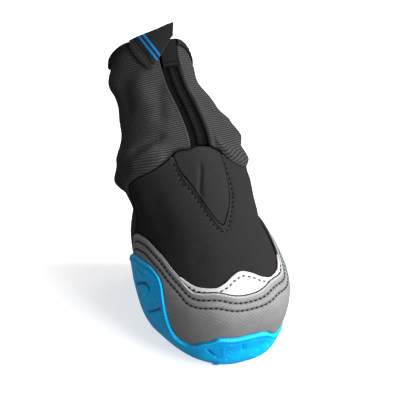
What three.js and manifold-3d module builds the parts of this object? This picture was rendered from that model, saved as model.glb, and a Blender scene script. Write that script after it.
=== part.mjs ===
// A dog's winter boot: rubber cup sole, softshell upper, knit gaiter with a front zip.
// Millimetres, +Z up, toe towards -Y. The origin is on the floor plane, at the middle
// of the sole's length, on a flat lug.
import * as THREE from 'three';
import { mergeVertices } from 'three/addons/utils/BufferGeometryUtils.js';
import Module from 'manifold-3d';

const wasm = await Module();
wasm.setup();

// Driving dimensions
const SOLE_LENGTH = 106;
const BALL_WIDTH = 70;        // over the upper at its widest, without the sole
const HEEL_WIDTH = 54;        // over the upper's heel
const ANKLE_HEIGHT = 90;      // front of the ankle seam above the floor
const SHAFT_RISE = 44;        // ankle seam to the collar, measured in height
const SHAFT_LEAN = 36;        // how far the slack shaft falls back over that rise
const COLLAR_WIDTH = 39;
const COLLAR_WAVE = 4;        // how far the slack collar rises on the boot's right
const UPPER_WALL = 1.6;
const GAITER_WALL = 1.8;
const RAND_WALL = 1.0;
const SOLE_WALL = 2.8;        // rubber wall at the cup's upper edge
const FIT = 0.35;             // clearance between pieces that touch edge to edge
const OVERLAY_FIT = 0.5;      // the same between curved skins, whose facets dip between corners
const WING_HEIGHT = 45;       // highest point of the sole's side wing
const SOLE_WIDTH = 66.5;
const SOLE_HEEL_WIDTH = 45;
const TOE_SPRING = 2.2;
const ARCH_LIFT = 1.4;
const LUG_DEPTH = 2.2;
const LUG_PITCH = 14;
const GROOVE_WIDTH = 2.4;
const RIB_PITCH = 4;
const RIB_DEPTH = 0.9;
const INSOLE_THICKNESS = 2.2;
const SLIT_WIDTH = 10.4;      // opening of the gaiter over the zip
const ZIP_WALL = 1.0;
const COIL_WIDTH = 3.4;
const TAB_WALL = 1.1;
const TAB_STAND = 7.5;        // how far the tab's tip stands over the collar
const BINDING_WIDTH = 3.4;
const BINDING_WALL = 0.9;
const GUSSET_PUFF = 1.5;      // how far the bellows stands out of the throat
const COIL_RISE = 1.1;        // how far the zip's coil stands over its tape
const SEAM_ROLL = 2.0;        // roll of slack knit over the ankle seam
const HEEL_FOLD = 5;          // fold of slack knit that hangs over the heel
const SOFT_ROLL = 0.35;       // height of the soft rolls up the shaft
const COLLAR_BAG = 2;         // bag of slack knit under the collar on the boot's right

const TOE_Y = -SOLE_LENGTH / 2;
const HEEL_Y = SOLE_LENGTH / 2;
const RAD = Math.PI / 180;

// Sections of the foot, sole to ankle. Each is a tilted ring with its front point and its back
// point in the middle plane. front and back: shares of the sole's length, measured back from the
// toe and back from the heel. frontZ and backZ: shares of the ankle height. fore: half width
// at the ball as a share of half BALL_WIDTH. rear: the same of half HEEL_WIDTH. blunt and
// bluntRear: exponents of the plan (1 is an ellipse, less is squarer). from, to: where along the
// ring the fore form turns into the rear form.
const FOOT = [
  { front: 0.088, frontZ: 0.102, back: -0.019, backZ: 0.056, fore: 0.83, rear: 0.66,
    blunt: 0.68, bluntRear: 0.3, from: 0.4, to: 0.88 },
  { front: 0.052, frontZ: 0.222, back: -0.009, backZ: 0.144, fore: 0.92, rear: 0.78,
    blunt: 0.68, bluntRear: 0.35, from: 0.4, to: 0.9 },
  { front: 0.03, frontZ: 0.337, back: 0, backZ: 0.256, fore: 0.975, rear: 0.9,
    blunt: 0.7, bluntRear: 0.45, from: 0.4, to: 0.95 },
  { front: 0.041, frontZ: 0.434, back: 0.005, backZ: 0.367, fore: 0.985, rear: 1,
    blunt: 0.74, bluntRear: 0.55, from: 0.35, to: 0.95 },
  { front: 0.106, frontZ: 0.525, back: 0, backZ: 0.467, fore: 0.93, rear: 1.01,
    blunt: 0.85, bluntRear: 0.65, from: 0.3, to: 1 },
  { front: 0.208, frontZ: 0.615, back: -0.009, backZ: 0.556, fore: 0.835, rear: 0.99,
    blunt: 0.85, bluntRear: 0.75, from: 0.2, to: 1 },
  { front: 0.325, frontZ: 0.723, back: -0.028, backZ: 0.633, fore: 0.815, rear: 1.03,
    blunt: 0.9, bluntRear: 0.85, from: 0.1, to: 1 },
  { front: 0.474, frontZ: 0.859, back: -0.038, backZ: 0.7, fore: 0.865, rear: 1.12,
    blunt: 0.95, bluntRear: 0.95, from: 0, to: 1 },
  { front: 0.615, frontZ: 1, back: -0.03, backZ: 0.755, fore: 0.875, rear: 1.13,
    blunt: 1, bluntRear: 1, from: 0, to: 1 },
];

// Sections of the slack shaft, ankle seam to collar. front and back: shares of SHAFT_LEAN behind
// the ankle section. frontZ and backZ: shares of SHAFT_RISE over it. wide: share of half
// COLLAR_WIDTH. side: how far the section slips to the boot's right, a share of COLLAR_WIDTH.
const SHAFT = [
  { front: 0.19, frontZ: 0.14, back: 0.13, backZ: 0.11, wide: 1.53, side: 0.02 },
  { front: 0.44, frontZ: 0.33, back: 0.31, backZ: 0.3, wide: 1.285, side: 0 },
  { front: 0.69, frontZ: 0.56, back: 0.5, backZ: 0.52, wide: 1.09, side: -0.07 },
  { front: 0.89, frontZ: 0.78, back: 0.64, backZ: 0.75, wide: 1.055, side: -0.1 },
  { front: 1, frontZ: 1, back: 0.72, backZ: 0.95, wide: 1, side: -0.1 },
];

const SECTIONS = [...FOOT.map(footSection), ...SHAFT.map(shaftSection)];
const SEAM = FOOT.length - 1;
const COLLAR = SECTIONS.length - 1;

// Edges round the boot, by angle from the toe (degrees), the same on both sides. height: share of
// the height named for each edge.
const SOLE_EDGE = [[0, 0.55], [12, 0.565], [22, 0.48], [33, 0.39], [43, 0.365], [50, 0.39],
  [53, 0.43], [57, 0.54], [59, 0.65], [61, 0.82], [63, 0.92], [67, 0.975], [74, 1.00],
  [86, 0.97], [100, 0.90], [106, 0.83], [118, 0.645], [130, 0.455], [144, 0.305], [160, 0.235],
  [180, 0.225]];
const RAND_TOP = [[0, 0.487], [14, 0.476], [24, 0.470], [36, 0.482], [48, 0.522], [54, 0.540],
  [66, 0.572], [80, 0.582], [94, 0.560], [104, 0.520]];
const TRIM_TOP = [[0, 0.569], [6, 0.558], [14, 0.532], [22, 0.515], [34, 0.512], [48, 0.530]];
const THROAT = [[0, 0.733], [5, 0.756], [10, 0.781], [14, 0.806], [18, 0.844], [21, 0.889],
  [24, 0.967], [28, 0.952], [35, 0.922], [50, 0.876], [74, 0.833], [86, 0.800], [93, 0.744],
  [98, 0.667], [104, 0.56], [109, 0.46], [114, 0.37], [118, 0.3225]];
const GUSSET_TOP = [[0, 1.022], [12, 1.011], [20, 0.989], [24, 0.978]];
const RAND_END = 104;
const TRIM_END = 48;
const THROAT_END = 24;
const SHELL_END = 118;
const SLIT_ANGLE = 10;          // half the slit at the ankle seam
const SLIT_TURN = 5;            // how far the slit's middle stands off the toe's line at the seam
const BUMPER_TURN = 6;          // how far the bumper's middle stands off the toe's line
const BUMPER_END = 60;          // where that turn has faded out
const EDGE_STEP = 2;            // reach over which an edge's slope is taken

// The tab's sewn edge to its free edge. Columns: angle, level of the lower edge in rows of the
// sections, and how far the upper edge stands over the collar as a share of TAB_STAND.
const TAB_EDGES = [[-46, 12.8, 0.1], [-38, 12.45, 0.25], [-29, 12.05, 0.4], [-20, 11.72, 0.55],
  [-11, 11.95, 0.7], [-2, 12.22, 0.83], [6, 12.5, 0.93], [14, 12.78, 1]];

// The zip's tape and the patch over it, in rows of the sections above the ankle seam. Reach: half
// width as a share of half the slit.
const ZIP = { from: 0.35, to: 4.35, reach: 1.5 };
const GARAGE = { from: 3.75, reach: 0.86 };

// Angles, in degrees, where every piece has its columns, so that edges that meet run alike.
const ANGLES = [0, 5, 10, 14, 18, 21, 24, 28, 34, 40, 44, 48, 53, 57, 59, 61, 63, 67, 74, 80, 86,
  93, 98, 104, 109, 114, 118, 124, 130, 137, 144, 152, 160, 170, 180];

// Basic forms

function smooth(value) {
  const t = Math.min(Math.max(value, 0), 1);
  return t * t * (3 - 2 * t);
}

function bump(value, centre, reach) {
  return 1 - smooth(Math.abs(value - centre) / reach);
}

function tableValue(table, at) {
  const last = table[table.length - 1];
  if (at <= table[0][0]) return table[0][1];
  if (at >= last[0]) return last[1];
  const k = table.findIndex((row) => row[0] > at);
  const [a0, h0] = table[k - 1];
  const [a1, h1] = table[k];
  return h0 + (h1 - h0) * ((at - a0) / (a1 - a0));
}

function footSection(row) {
  return {
    frontY: TOE_Y + row.front * SOLE_LENGTH,
    frontZ: row.frontZ * ANKLE_HEIGHT,
    backY: HEEL_Y + row.back * SOLE_LENGTH,
    backZ: row.backZ * ANKLE_HEIGHT,
    fore: row.fore * BALL_WIDTH / 2,
    rear: row.rear * HEEL_WIDTH / 2,
    blunt: row.blunt,
    bluntRear: row.bluntRear,
    from: row.from,
    to: row.to,
    side: 0,
  };
}

function shaftSection(row) {
  const ankle = footSection(FOOT[FOOT.length - 1]);
  return {
    frontY: ankle.frontY + row.front * SHAFT_LEAN,
    frontZ: ankle.frontZ + row.frontZ * SHAFT_RISE,
    backY: ankle.backY + row.back * SHAFT_LEAN,
    backZ: ankle.backZ + row.backZ * SHAFT_RISE,
    fore: row.wide * COLLAR_WIDTH / 2,
    rear: row.wide * COLLAR_WIDTH / 2,
    blunt: 1,
    bluntRear: 1,
    from: 0,
    to: 1,
    side: row.side * COLLAR_WIDTH,
  };
}

// A section between the table's rows, on a smooth curve through them.
function sectionAt(level) {
  const v = Math.min(Math.max(level, 0), COLLAR);
  const i = Math.min(Math.floor(v), COLLAR - 1);
  const t = v - i;
  const section = {};
  for (const key of Object.keys(SECTIONS[0])) {
    const p1 = SECTIONS[i][key];
    const p2 = SECTIONS[i + 1][key];
    const p0 = i > 0 ? SECTIONS[i - 1][key] : 2 * p1 - p2;
    const p3 = i < COLLAR - 1 ? SECTIONS[i + 2][key] : 2 * p2 - p1;
    const curve = (3 * p1 - p0 - 3 * p2 + p3) * t + (2 * p0 - 5 * p1 + 4 * p2 - p3);
    section[key] = 0.5 * ((curve * t + (p2 - p0)) * t + 2 * p1);
  }
  return section;
}

// Point of the last's skin: angle from the toe in degrees, level in rows of the tables.
function skinPoint(angle, level) {
  const c = sectionAt(level);
  const s = (1 - Math.cos(angle * RAD)) / 2;
  const b = smooth((s - c.from) / (c.to - c.from));
  const sine = Math.sin(angle * RAD);
  const half = c.fore * (1 - b) + c.rear * b;
  const power = c.blunt * (1 - b) + c.bluntRear * b;
  const wave = COLLAR_WAVE * bump(angle, -58, 58) * smooth((level - COLLAR) / 1.5 + 1);
  return new THREE.Vector3(
    c.side + Math.sign(sine) * half * Math.abs(sine) ** power,
    c.frontY + (c.backY - c.frontY) * s,
    c.frontZ + (c.backZ - c.frontZ) * s + wave,
  );
}

// The same point moved off the skin by lift, outwards if positive.
function skin(angle, level, lift) {
  const span = 0.6;
  const low = Math.max(level - 0.05, 0);
  const high = Math.min(level + 0.05, COLLAR);
  const around = skinPoint(angle + span, level).sub(skinPoint(angle - span, level));
  const upwards = skinPoint(angle, high).sub(skinPoint(angle, low));
  const normal = around.cross(upwards).normalize();
  return skinPoint(angle, level).addScaledVector(normal, lift);
}

// The level where the skin reaches a height at an angle.
function levelAt(angle, height) {
  let low = 0;
  let high = COLLAR;
  for (let k = 0; k < 26; k += 1) {
    const mid = (low + high) / 2;
    if (skinPoint(angle, mid).z < height) low = mid;
    else high = mid;
  }
  return (low + high) / 2;
}

// An edge's height at an angle, moved up by a gap measured square to the edge.
function edgeHeight(table, unit, angle, gap = 0) {
  const a = Math.abs(angle);
  const height = (at) => tableValue(table, at) * unit;
  const arc = EDGE_STEP * RAD * BALL_WIDTH / 2;
  const slope = Math.max(
    Math.abs(height(a + EDGE_STEP) - height(a)),
    Math.abs(height(a) - height(Math.max(a - EDGE_STEP, 0))),
  ) / arc;
  return height(a) + gap * Math.sqrt(1 + slope * slope);
}

// The bumper's middle stands a little to the boot's right of the toe.
function soleEdge(angle, gap = 0) {
  const turned = angle + BUMPER_TURN * bump(angle, 0, BUMPER_END);
  return edgeHeight(SOLE_EDGE, WING_HEIGHT, turned, gap);
}

function shellEdge(angle, gap = 0) {
  if (Math.abs(angle) >= SHELL_END) return soleEdge(angle, gap);
  return edgeHeight(THROAT, ANKLE_HEIGHT, angle, gap);
}

function columns(end, start = 0) {
  const side = ANGLES.filter((a) => a >= start && a <= end);
  const left = side.filter((a) => a > 0).reverse().map((a) => -a);
  return left.concat(side);
}

function around() {
  return columns(180).slice(1);
}

function shares(count) {
  return Array.from({ length: count + 1 }, (_, k) => k / count);
}

// Solids

function bodyFrom(points, faces) {
  const place = [];
  for (const p of points) place.push(p.x, p.y, p.z);
  const body = new THREE.BufferGeometry();
  body.setAttribute('position', new THREE.Float32BufferAttribute(place, 3));
  body.setIndex(faces);
  if (volumeOf(body) < 0) {
    for (let k = 0; k < faces.length; k += 3) [faces[k], faces[k + 1]] = [faces[k + 1], faces[k]];
    body.setIndex(faces);
  }
  return body;
}

function volumeOf(body) {
  const place = body.getAttribute('position');
  const index = body.getIndex();
  const corners = [new THREE.Vector3(), new THREE.Vector3(), new THREE.Vector3()];
  let total = 0;
  for (let k = 0; k < index.count; k += 3) {
    corners.forEach((corner, n) => corner.fromBufferAttribute(place, index.getX(k + n)));
    total += corners[0].dot(corners[1].cross(corners[2])) / 6;
  }
  return total;
}

// A closed wall between two grids of points alike in size, rows upwards and columns round.
// looped joins the last column to the first.
function wallBody(outer, inner, looped) {
  const rows = outer.length;
  const count = outer[0].length;
  const points = [...outer.flat(), ...inner.flat()];
  const at = (face, i, j) => face * rows * count + i * count + (j % count);
  const faces = [];
  const quad = (a, b, c, d) => faces.push(a, b, c, a, c, d);
  const spans = looped ? count : count - 1;
  for (let j = 0; j < spans; j += 1) {
    for (let i = 0; i < rows - 1; i += 1) {
      quad(at(0, i, j), at(0, i, j + 1), at(0, i + 1, j + 1), at(0, i + 1, j));
      quad(at(1, i, j), at(1, i + 1, j), at(1, i + 1, j + 1), at(1, i, j + 1));
    }
    quad(at(0, 0, j), at(1, 0, j), at(1, 0, j + 1), at(0, 0, j + 1));
    const top = rows - 1;
    quad(at(0, top, j), at(0, top, j + 1), at(1, top, j + 1), at(1, top, j));
  }
  if (!looped) {
    const end = count - 1;
    for (let i = 0; i < rows - 1; i += 1) {
      quad(at(0, i, 0), at(0, i + 1, 0), at(1, i + 1, 0), at(1, i, 0));
      quad(at(0, i, end), at(1, i, end), at(1, i + 1, end), at(0, i + 1, end));
    }
  }
  return bodyFrom(points, faces);
}

// A wall on the skin between two edges given as levels by angle.
function skinWall(angles, lowLevel, highLevel, inside, outside, steps, looped = false) {
  const grid = (lift) => shares(steps).map((share) => angles.map((angle) => {
    const low = lowLevel(angle);
    const level = low + (highLevel(angle) - low) * share;
    return skin(angle, level, typeof lift === 'function' ? lift(angle, level) : lift);
  }));
  return wallBody(grid(outside), grid(inside), looped);
}

// A plate or cup from rings stacked from one cap to the other; ring points run round from the
// heel's left past the toe, alike on both sides, so that each cap is closed across the middle.
function stackBody(rings) {
  const count = rings[0].length;
  const points = rings.flat();
  const at = (i, j) => i * count + (j % count);
  const faces = [];
  for (let i = 0; i < rings.length - 1; i += 1) {
    for (let j = 0; j < count; j += 1) {
      faces.push(at(i, j), at(i, j + 1), at(i + 1, j + 1));
      faces.push(at(i, j), at(i + 1, j + 1), at(i + 1, j));
    }
  }
  const toe = (count - 2) / 2;
  const cap = (i, turn) => {
    const add = (a, b, c) => (turn ? faces.push(at(i, a), at(i, c), at(i, b))
      : faces.push(at(i, a), at(i, b), at(i, c)));
    for (let k = 1; k <= toe; k += 1) {
      const left = toe - k;
      const right = toe + k;
      const leftIn = left + 1;
      const rightIn = right - 1;
      if (k === 1) add(toe, right, left);
      else {
        add(leftIn, rightIn, right);
        add(leftIn, right, left);
      }
    }
    add(0, count - 2, count - 1);
  };
  cap(0, true);
  cap(rings.length - 1, false);
  return bodyFrom(points, faces);
}

function toManifold(body) {
  const bare = body.clone();
  bare.deleteAttribute('normal');
  bare.deleteAttribute('uv');
  const merged = mergeVertices(bare, 1e-4);
  return new wasm.Manifold(new wasm.Mesh({
    numProp: 3,
    vertProperties: new Float32Array(merged.getAttribute('position').array),
    triVerts: new Uint32Array(merged.getIndex().array),
  }));
}

function fromManifold(solid) {
  const mesh = solid.getMesh();
  const body = new THREE.BufferGeometry();
  body.setAttribute('position', new THREE.Float32BufferAttribute(mesh.vertProperties, 3));
  body.setIndex(Array.from(mesh.triVerts));
  return body;
}

// Sole

// Underside of the lugs along the foot: flat under the ball and the heel, raised at toe and waist.
function treadHeight(y) {
  const toe = TOE_SPRING * smooth((TOE_Y * 0.45 - y) / (SOLE_LENGTH * 0.27));
  const arch = ARCH_LIFT * bump(y, SOLE_LENGTH * 0.24, SOLE_LENGTH * 0.1);
  return toe + arch;
}

// Outline of the sole in plan, moved in by inset: a round forefoot and a narrow square heel.
function solePlan(angle, inset) {
  const point = (at) => {
    const s = (1 - Math.cos(at * RAD)) / 2;
    const b = smooth((s - 0.42) / 0.48);
    const half = (SOLE_WIDTH * (1 - b) + SOLE_HEEL_WIDTH * b) / 2;
    const power = 0.78 * (1 - b) + 0.25 * b;
    const sine = Math.sin(at * RAD);
    return new THREE.Vector2(
      Math.sign(sine) * half * Math.abs(sine) ** power,
      TOE_Y + SOLE_LENGTH * s,
    );
  };
  const along = point(angle + 0.4).sub(point(angle - 0.4)).normalize();
  return point(angle).add(new THREE.Vector2(-along.y, along.x).multiplyScalar(inset));
}

// How far the rounded side stands in from the outline at a height over the lugs.
function soleInset(angle, rise) {
  const s = (1 - Math.cos(angle * RAD)) / 2;
  const heel = smooth((s - 0.7) / 0.2);
  const deep = 0.26 * SOLE_WIDTH * (1 - heel) + 0.07 * SOLE_HEEL_WIDTH * heel;
  const tall = 0.5 * WING_HEIGHT * (1 - heel) + 0.18 * WING_HEIGHT * heel;
  return deep * (1 - Math.min(rise / tall, 1)) ** 3;
}

// The cup's wall is thinner behind the wings.
function soleWall(angle) {
  return SOLE_WALL * (1 - 0.35 * smooth((Math.abs(angle) - 45) / 30));
}

function outsoleBody() {
  const angles = around();
  const outerShares = [0, 0.03, 0.08, 0.16, 0.28, 0.45, 0.65, 0.85, 1];
  const outer = outerShares.map((share) => angles.map((angle) => {
    const top = skin(angle, levelAt(angle, soleEdge(angle)), soleWall(angle));
    const foot = solePlan(angle, soleInset(angle, 0));
    const base = treadHeight(foot.y);
    const z = base + (top.z - base) * share;
    const side = solePlan(angle, soleInset(angle, z - base));
    const wall = skin(angle, levelAt(angle, z), soleWall(angle));
    const turn = smooth((z - base) / Math.min(WING_HEIGHT * 0.36, top.z - base));
    return new THREE.Vector3(
      side.x + (wall.x - side.x) * turn,
      side.y + (wall.y - side.y) * turn,
      z,
    );
  }));
  const inner = shares(6).reverse().map((share) => angles.map((angle) => {
    const level = levelAt(angle, soleEdge(angle)) * share;
    const point = skin(angle, level, OVERLAY_FIT);
    return share > 0 ? point : point.setZ(skinPoint(angle, 0).z - FIT);
  }));
  const cup = toManifold(stackBody([...outer, ...inner]));
  let tread = cup;
  for (const groove of grooves()) tread = tread.subtract(toManifold(groove));
  return fromManifold(tread);
}

// A cutter under the tread: a strip between two plan points, as deep as depth over the lugs.
function grooveBody(from, to, width, depth) {
  const steps = Math.max(1, Math.round(Math.abs(to.y - from.y) / 5));
  const across = new THREE.Vector2(from.y - to.y, to.x - from.x).setLength(width / 2);
  const rings = shares(steps).map((share) => {
    const middle = from.clone().lerp(to, share);
    const top = treadHeight(middle.y) + depth;
    const left = middle.clone().add(across);
    const right = middle.clone().sub(across);
    const under = -2 * LUG_DEPTH;
    return [
      new THREE.Vector3(left.x, left.y, under),
      new THREE.Vector3(right.x, right.y, under),
      new THREE.Vector3(right.x, right.y, top),
      new THREE.Vector3(left.x, left.y, top),
    ];
  });
  const faces = [];
  for (let i = 0; i < steps; i += 1) {
    for (let j = 0; j < 4; j += 1) {
      const a = i * 4 + j;
      const b = i * 4 + ((j + 1) % 4);
      faces.push(a, b, b + 4, a, b + 4, a + 4);
    }
  }
  const end = steps * 4;
  faces.push(0, 2, 1, 0, 3, 2, end, end + 1, end + 2, end, end + 2, end + 3);
  return bodyFrom(rings.flat(), faces);
}

// Square blocks under the ball with diagonal bars at the sides, fine ribs under the heel.
function grooves() {
  const cutters = [];
  const at = (x, y) => new THREE.Vector2(x, y);
  const half = SOLE_WIDTH / 2;
  const ballEnd = SOLE_LENGTH * 0.24;
  const rows = [-2.75, -1.75, -0.75, 0.25, 1.25];
  for (const row of rows) {
    const y = row * LUG_PITCH;
    cutters.push(grooveBody(at(-half, y), at(half, y), GROOVE_WIDTH, LUG_DEPTH));
  }
  for (const side of [-1, 1]) {
    for (const line of [0.5, 1.5]) {
      const x = side * line * LUG_PITCH;
      cutters.push(grooveBody(at(x, TOE_Y), at(x, ballEnd), GROOVE_WIDTH, LUG_DEPTH));
    }
    for (const row of [-1.75, 0.25]) {
      const from = at(side * 0.5 * LUG_PITCH, row * LUG_PITCH);
      const ahead = at(side * 2.5 * LUG_PITCH, (row - 2) * LUG_PITCH);
      const behind = at(side * 2.5 * LUG_PITCH, (row + 2) * LUG_PITCH);
      cutters.push(grooveBody(from, ahead, GROOVE_WIDTH / 2, LUG_DEPTH / 2));
      cutters.push(grooveBody(from, behind, GROOVE_WIDTH / 2, LUG_DEPTH / 2));
    }
  }
  const heelStart = ballEnd + RIB_PITCH;
  const ribs = Math.floor((HEEL_Y - RIB_PITCH - heelStart) / RIB_PITCH);
  for (let k = 0; k <= ribs; k += 1) {
    const y = heelStart + k * RIB_PITCH;
    cutters.push(grooveBody(at(-half, y), at(half, y), RIB_PITCH / 3, RIB_DEPTH));
  }
  return cutters;
}

// A foam board on the cup's floor, inside the upper's wall.
function insoleBody() {
  const angles = around();
  const inset = UPPER_WALL + 3 * FIT;
  const ring = (lift) => angles.map((angle) => {
    const edge = skin(angle, 0, -inset);
    return edge.setZ(skinPoint(angle, 0).z + lift);
  });
  return stackBody([ring(FIT), ring(FIT + INSOLE_THICKNESS)]);
}

// Upper

function upperBody() {
  const top = (angle) => levelAt(angle, shellEdge(angle));
  return skinWall(around(), () => 0, top, -UPPER_WALL, 0, 9, true);
}

function randBody() {
  const low = (angle) => levelAt(angle, soleEdge(angle, FIT));
  const high = (angle) => levelAt(angle, edgeHeight(RAND_TOP, ANKLE_HEIGHT, angle));
  return skinWall(columns(RAND_END), low, high, OVERLAY_FIT, OVERLAY_FIT + RAND_WALL, 5);
}

function trimBody() {
  const low = (angle) => levelAt(angle, edgeHeight(RAND_TOP, ANKLE_HEIGHT, angle, FIT));
  const high = (angle) => levelAt(angle, edgeHeight(TRIM_TOP, ANKLE_HEIGHT, angle, FIT));
  return skinWall(columns(TRIM_END), low, high, OVERLAY_FIT, OVERLAY_FIT + RAND_WALL, 2);
}

// The bellows in the throat stands out a little at its middle.
function gussetBody() {
  const low = (angle) => levelAt(angle, shellEdge(angle, FIT));
  const high = (angle) => levelAt(angle, edgeHeight(GUSSET_TOP, ANKLE_HEIGHT, angle));
  const angles = columns(THROAT_END).filter((a) => Math.abs(a) < THROAT_END);
  const rise = (level) => smooth((level - 6.2) / 0.8);
  const puff = (angle, level) => GUSSET_PUFF * bump(angle, 0, THROAT_END) * rise(level);
  const inside = (angle, level) => puff(angle, level) - UPPER_WALL;
  return skinWall(angles, low, high, inside, puff, 6);
}

// Gaiter

// The zip's line stands to the boot's left and wanders further towards the collar.
function twist(level) {
  return SLIT_TURN + SLIT_TURN * smooth((level - SEAM) / (COLLAR - SEAM));
}

function slitAngle(level) {
  if (level <= SEAM) return SLIT_ANGLE;
  const c = sectionAt(level);
  const full = Math.asin(SLIT_WIDTH / 2 / c.fore) / RAD;
  const share = smooth((level - SEAM) / 1.5);
  return SLIT_ANGLE + (full - SLIT_ANGLE) * share;
}

// The angle of a gaiter column at a level: spread from the slit and turned with the zip's line.
function gaiterAngle(column, level) {
  const slit = slitAngle(level);
  const size = slit + (180 - slit) * (Math.abs(column) - SLIT_ANGLE) / (180 - SLIT_ANGLE);
  const angle = Math.sign(column) * size;
  return angle + twist(level) * (1 + Math.cos(angle * RAD)) / 2;
}

// The slack knit: a roll over the ankle seam, a fold round the heel, soft rolls above and a bag
// under the collar on the boot's right. The knit leaves its lower edge flush and only then swells.
function slack(column, level, low) {
  const side = Math.abs(column);
  const aside = smooth((side - 22) / 30);
  const roll = SEAM_ROLL * bump(level, SEAM + 0.4, 0.9) * aside;
  const fold = HEEL_FOLD * bump(level, SEAM - 0.65, 1) * smooth((side - 84) / 30);
  const wave = Math.sin((level - SEAM) * 5 + column * 0.03) * smooth((level - SEAM) / 1.5);
  const rolls = SOFT_ROLL * wave * aside * smooth((COLLAR - 0.6 - level) / 0.8);
  const bag = COLLAR_BAG * bump(column, -95, 50) * bump(level, COLLAR - 1.15, 0.65);
  const swell = roll + fold + bag + rolls;
  return swell * smooth((level - low) / 0.8);
}

function gaiterLow(column) {
  const angle = gaiterAngle(column, SEAM);
  if (Math.abs(angle) <= THROAT_END) {
    return levelAt(angle, edgeHeight(GUSSET_TOP, ANKLE_HEIGHT, angle, FIT));
  }
  return levelAt(angle, shellEdge(angle, FIT));
}

function gaiterGrid(list, lowLevel, highLevel, lift, steps) {
  return shares(steps).map((share) => list.map((column) => {
    const low = lowLevel(column);
    const level = low + (highLevel(column) - low) * share;
    return skin(gaiterAngle(column, level), level, lift(column, level, low));
  }));
}

// The column whose foot stands at an angle.
function columnAt(angle) {
  let column = angle;
  for (let k = 0; k < 12; k += 1) column += angle - gaiterAngle(column, SEAM);
  return column;
}

// From the slit's right edge round the heel to its left edge, with feet at the angles of the
// other pieces' columns.
function gaiterColumns() {
  const right = ANGLES.filter((a) => a > SLIT_ANGLE + SLIT_TURN).map(columnAt);
  const left = ANGLES.filter((a) => a > SLIT_ANGLE - SLIT_TURN && a < 180);
  return [SLIT_ANGLE, ...right, ...left.reverse().map((a) => columnAt(-a)), -SLIT_ANGLE];
}

function gaiterBody() {
  const list = gaiterColumns();
  const high = () => COLLAR;
  const outer = gaiterGrid(list, gaiterLow, high, slack, 10);
  const inside = (column, level, low) => slack(column, level, low) - GAITER_WALL;
  const inner = gaiterGrid(list, gaiterLow, high, inside, 10);
  return wallBody(outer, inner, false);
}

// A strip behind or in the slit, from side to side as a share of the slit's half width.
function slitStrip(low, high, reach, inside, outside, steps, across = 4) {
  const grid = (lift) => shares(steps).map((share) => shares(across).map((k) => {
    const level = low + (high - low) * share;
    const side = (2 * k - 1) * reach;
    const angle = side * slitAngle(level) + twist(level);
    return skin(angle, level, typeof lift === 'function' ? lift(side, level) : lift);
  }));
  return wallBody(grid(outside), grid(inside), false);
}

// Tape behind the slit's edges with the coil raised along its middle.
function zipBody() {
  const depth = -GAITER_WALL - FIT;
  const face = (side) => depth + COIL_RISE * bump(side, 0, COIL_WIDTH / SLIT_WIDTH * 1.4);
  return slitStrip(SEAM + ZIP.from, SEAM + ZIP.to, ZIP.reach, depth - ZIP_WALL, face, 8, 8);
}

// A smooth patch in the slit over the zip's upper end.
function garageBody() {
  const depth = -GAITER_WALL + ZIP_WALL + 2 * FIT;
  return slitStrip(SEAM + GARAGE.from, COLLAR, GARAGE.reach, depth, depth + ZIP_WALL, 4);
}

// A band round the collar's outside.
function bindingBody() {
  const list = gaiterColumns();
  const c = SECTIONS[COLLAR];
  const last = SECTIONS[COLLAR - 1];
  const rise = Math.hypot(c.frontY - last.frontY, c.frontZ - last.frontZ);
  const low = () => COLLAR - BINDING_WIDTH / rise;
  const high = () => COLLAR;
  const outer = gaiterGrid(list, low, high, () => FIT + BINDING_WALL, 1);
  const inner = gaiterGrid(list, low, high, () => FIT, 1);
  return wallBody(outer, inner, false);
}

// A folded flap across the collar's front: sewn down along its left edge, free at its tip.
function tabBody() {
  const base = FIT * 2 + BINDING_WALL;
  const grid = (lift) => shares(3).map((share) => TAB_EDGES.map(([angle, low, stand]) => {
    const foot = skin(angle, low, lift);
    const top = skin(angle, COLLAR, lift);
    top.z += TAB_STAND * stand;
    return foot.lerp(top, share);
  }));
  return wallBody(grid(base + TAB_WALL), grid(base), false);
}

// The boot

const FINISH = {
  rubber: { color: 0x1fa3da, roughness: 0.62, metalness: 0 },
  foam: { color: 0x3a3c40, roughness: 0.95, metalness: 0 },
  softshell: { color: 0x4b4c4f, roughness: 0.9, metalness: 0 },
  rand: { color: 0x8c8c8e, roughness: 0.75, metalness: 0 },
  silver: { color: 0xe4e5e6, roughness: 0.35, metalness: 0.1 },
  knit: { color: 0x55565a, roughness: 0.95, metalness: 0 },
  tape: { color: 0x26272a, roughness: 0.85, metalness: 0 },
  patch: { color: 0x3d3e41, roughness: 0.9, metalness: 0 },
};

const boot = new THREE.Group();

function add(name, geometry, finish) {
  geometry.computeVertexNormals();
  const piece = new THREE.Mesh(geometry, new THREE.MeshStandardMaterial(FINISH[finish]));
  piece.name = name;
  boot.add(piece);
}

add('outsole', outsoleBody(), 'rubber');
add('insole', insoleBody(), 'foam');
add('upper', upperBody(), 'softshell');
add('toe_rand', randBody(), 'rand');
add('reflective_trim', trimBody(), 'silver');
add('throat_gusset', gussetBody(), 'softshell');
add('gaiter', gaiterBody(), 'knit');
add('zip', zipBody(), 'tape');
add('zip_garage', garageBody(), 'patch');
add('collar_binding', bindingBody(), 'patch');
add('collar_tab', tabBody(), 'patch');

export default boot;
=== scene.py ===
"""Visual model of a winter boot for a dog's paw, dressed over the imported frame.

Shapes are worked out in millimetres on the paw's last and written to meshes in metres.
"""
import logging
import math
from dataclasses import dataclass, field, replace
from enum import Enum
from typing import Any, Callable, Optional, Sequence

import bpy
import numpy as np
from mathutils import Matrix, Vector


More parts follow.
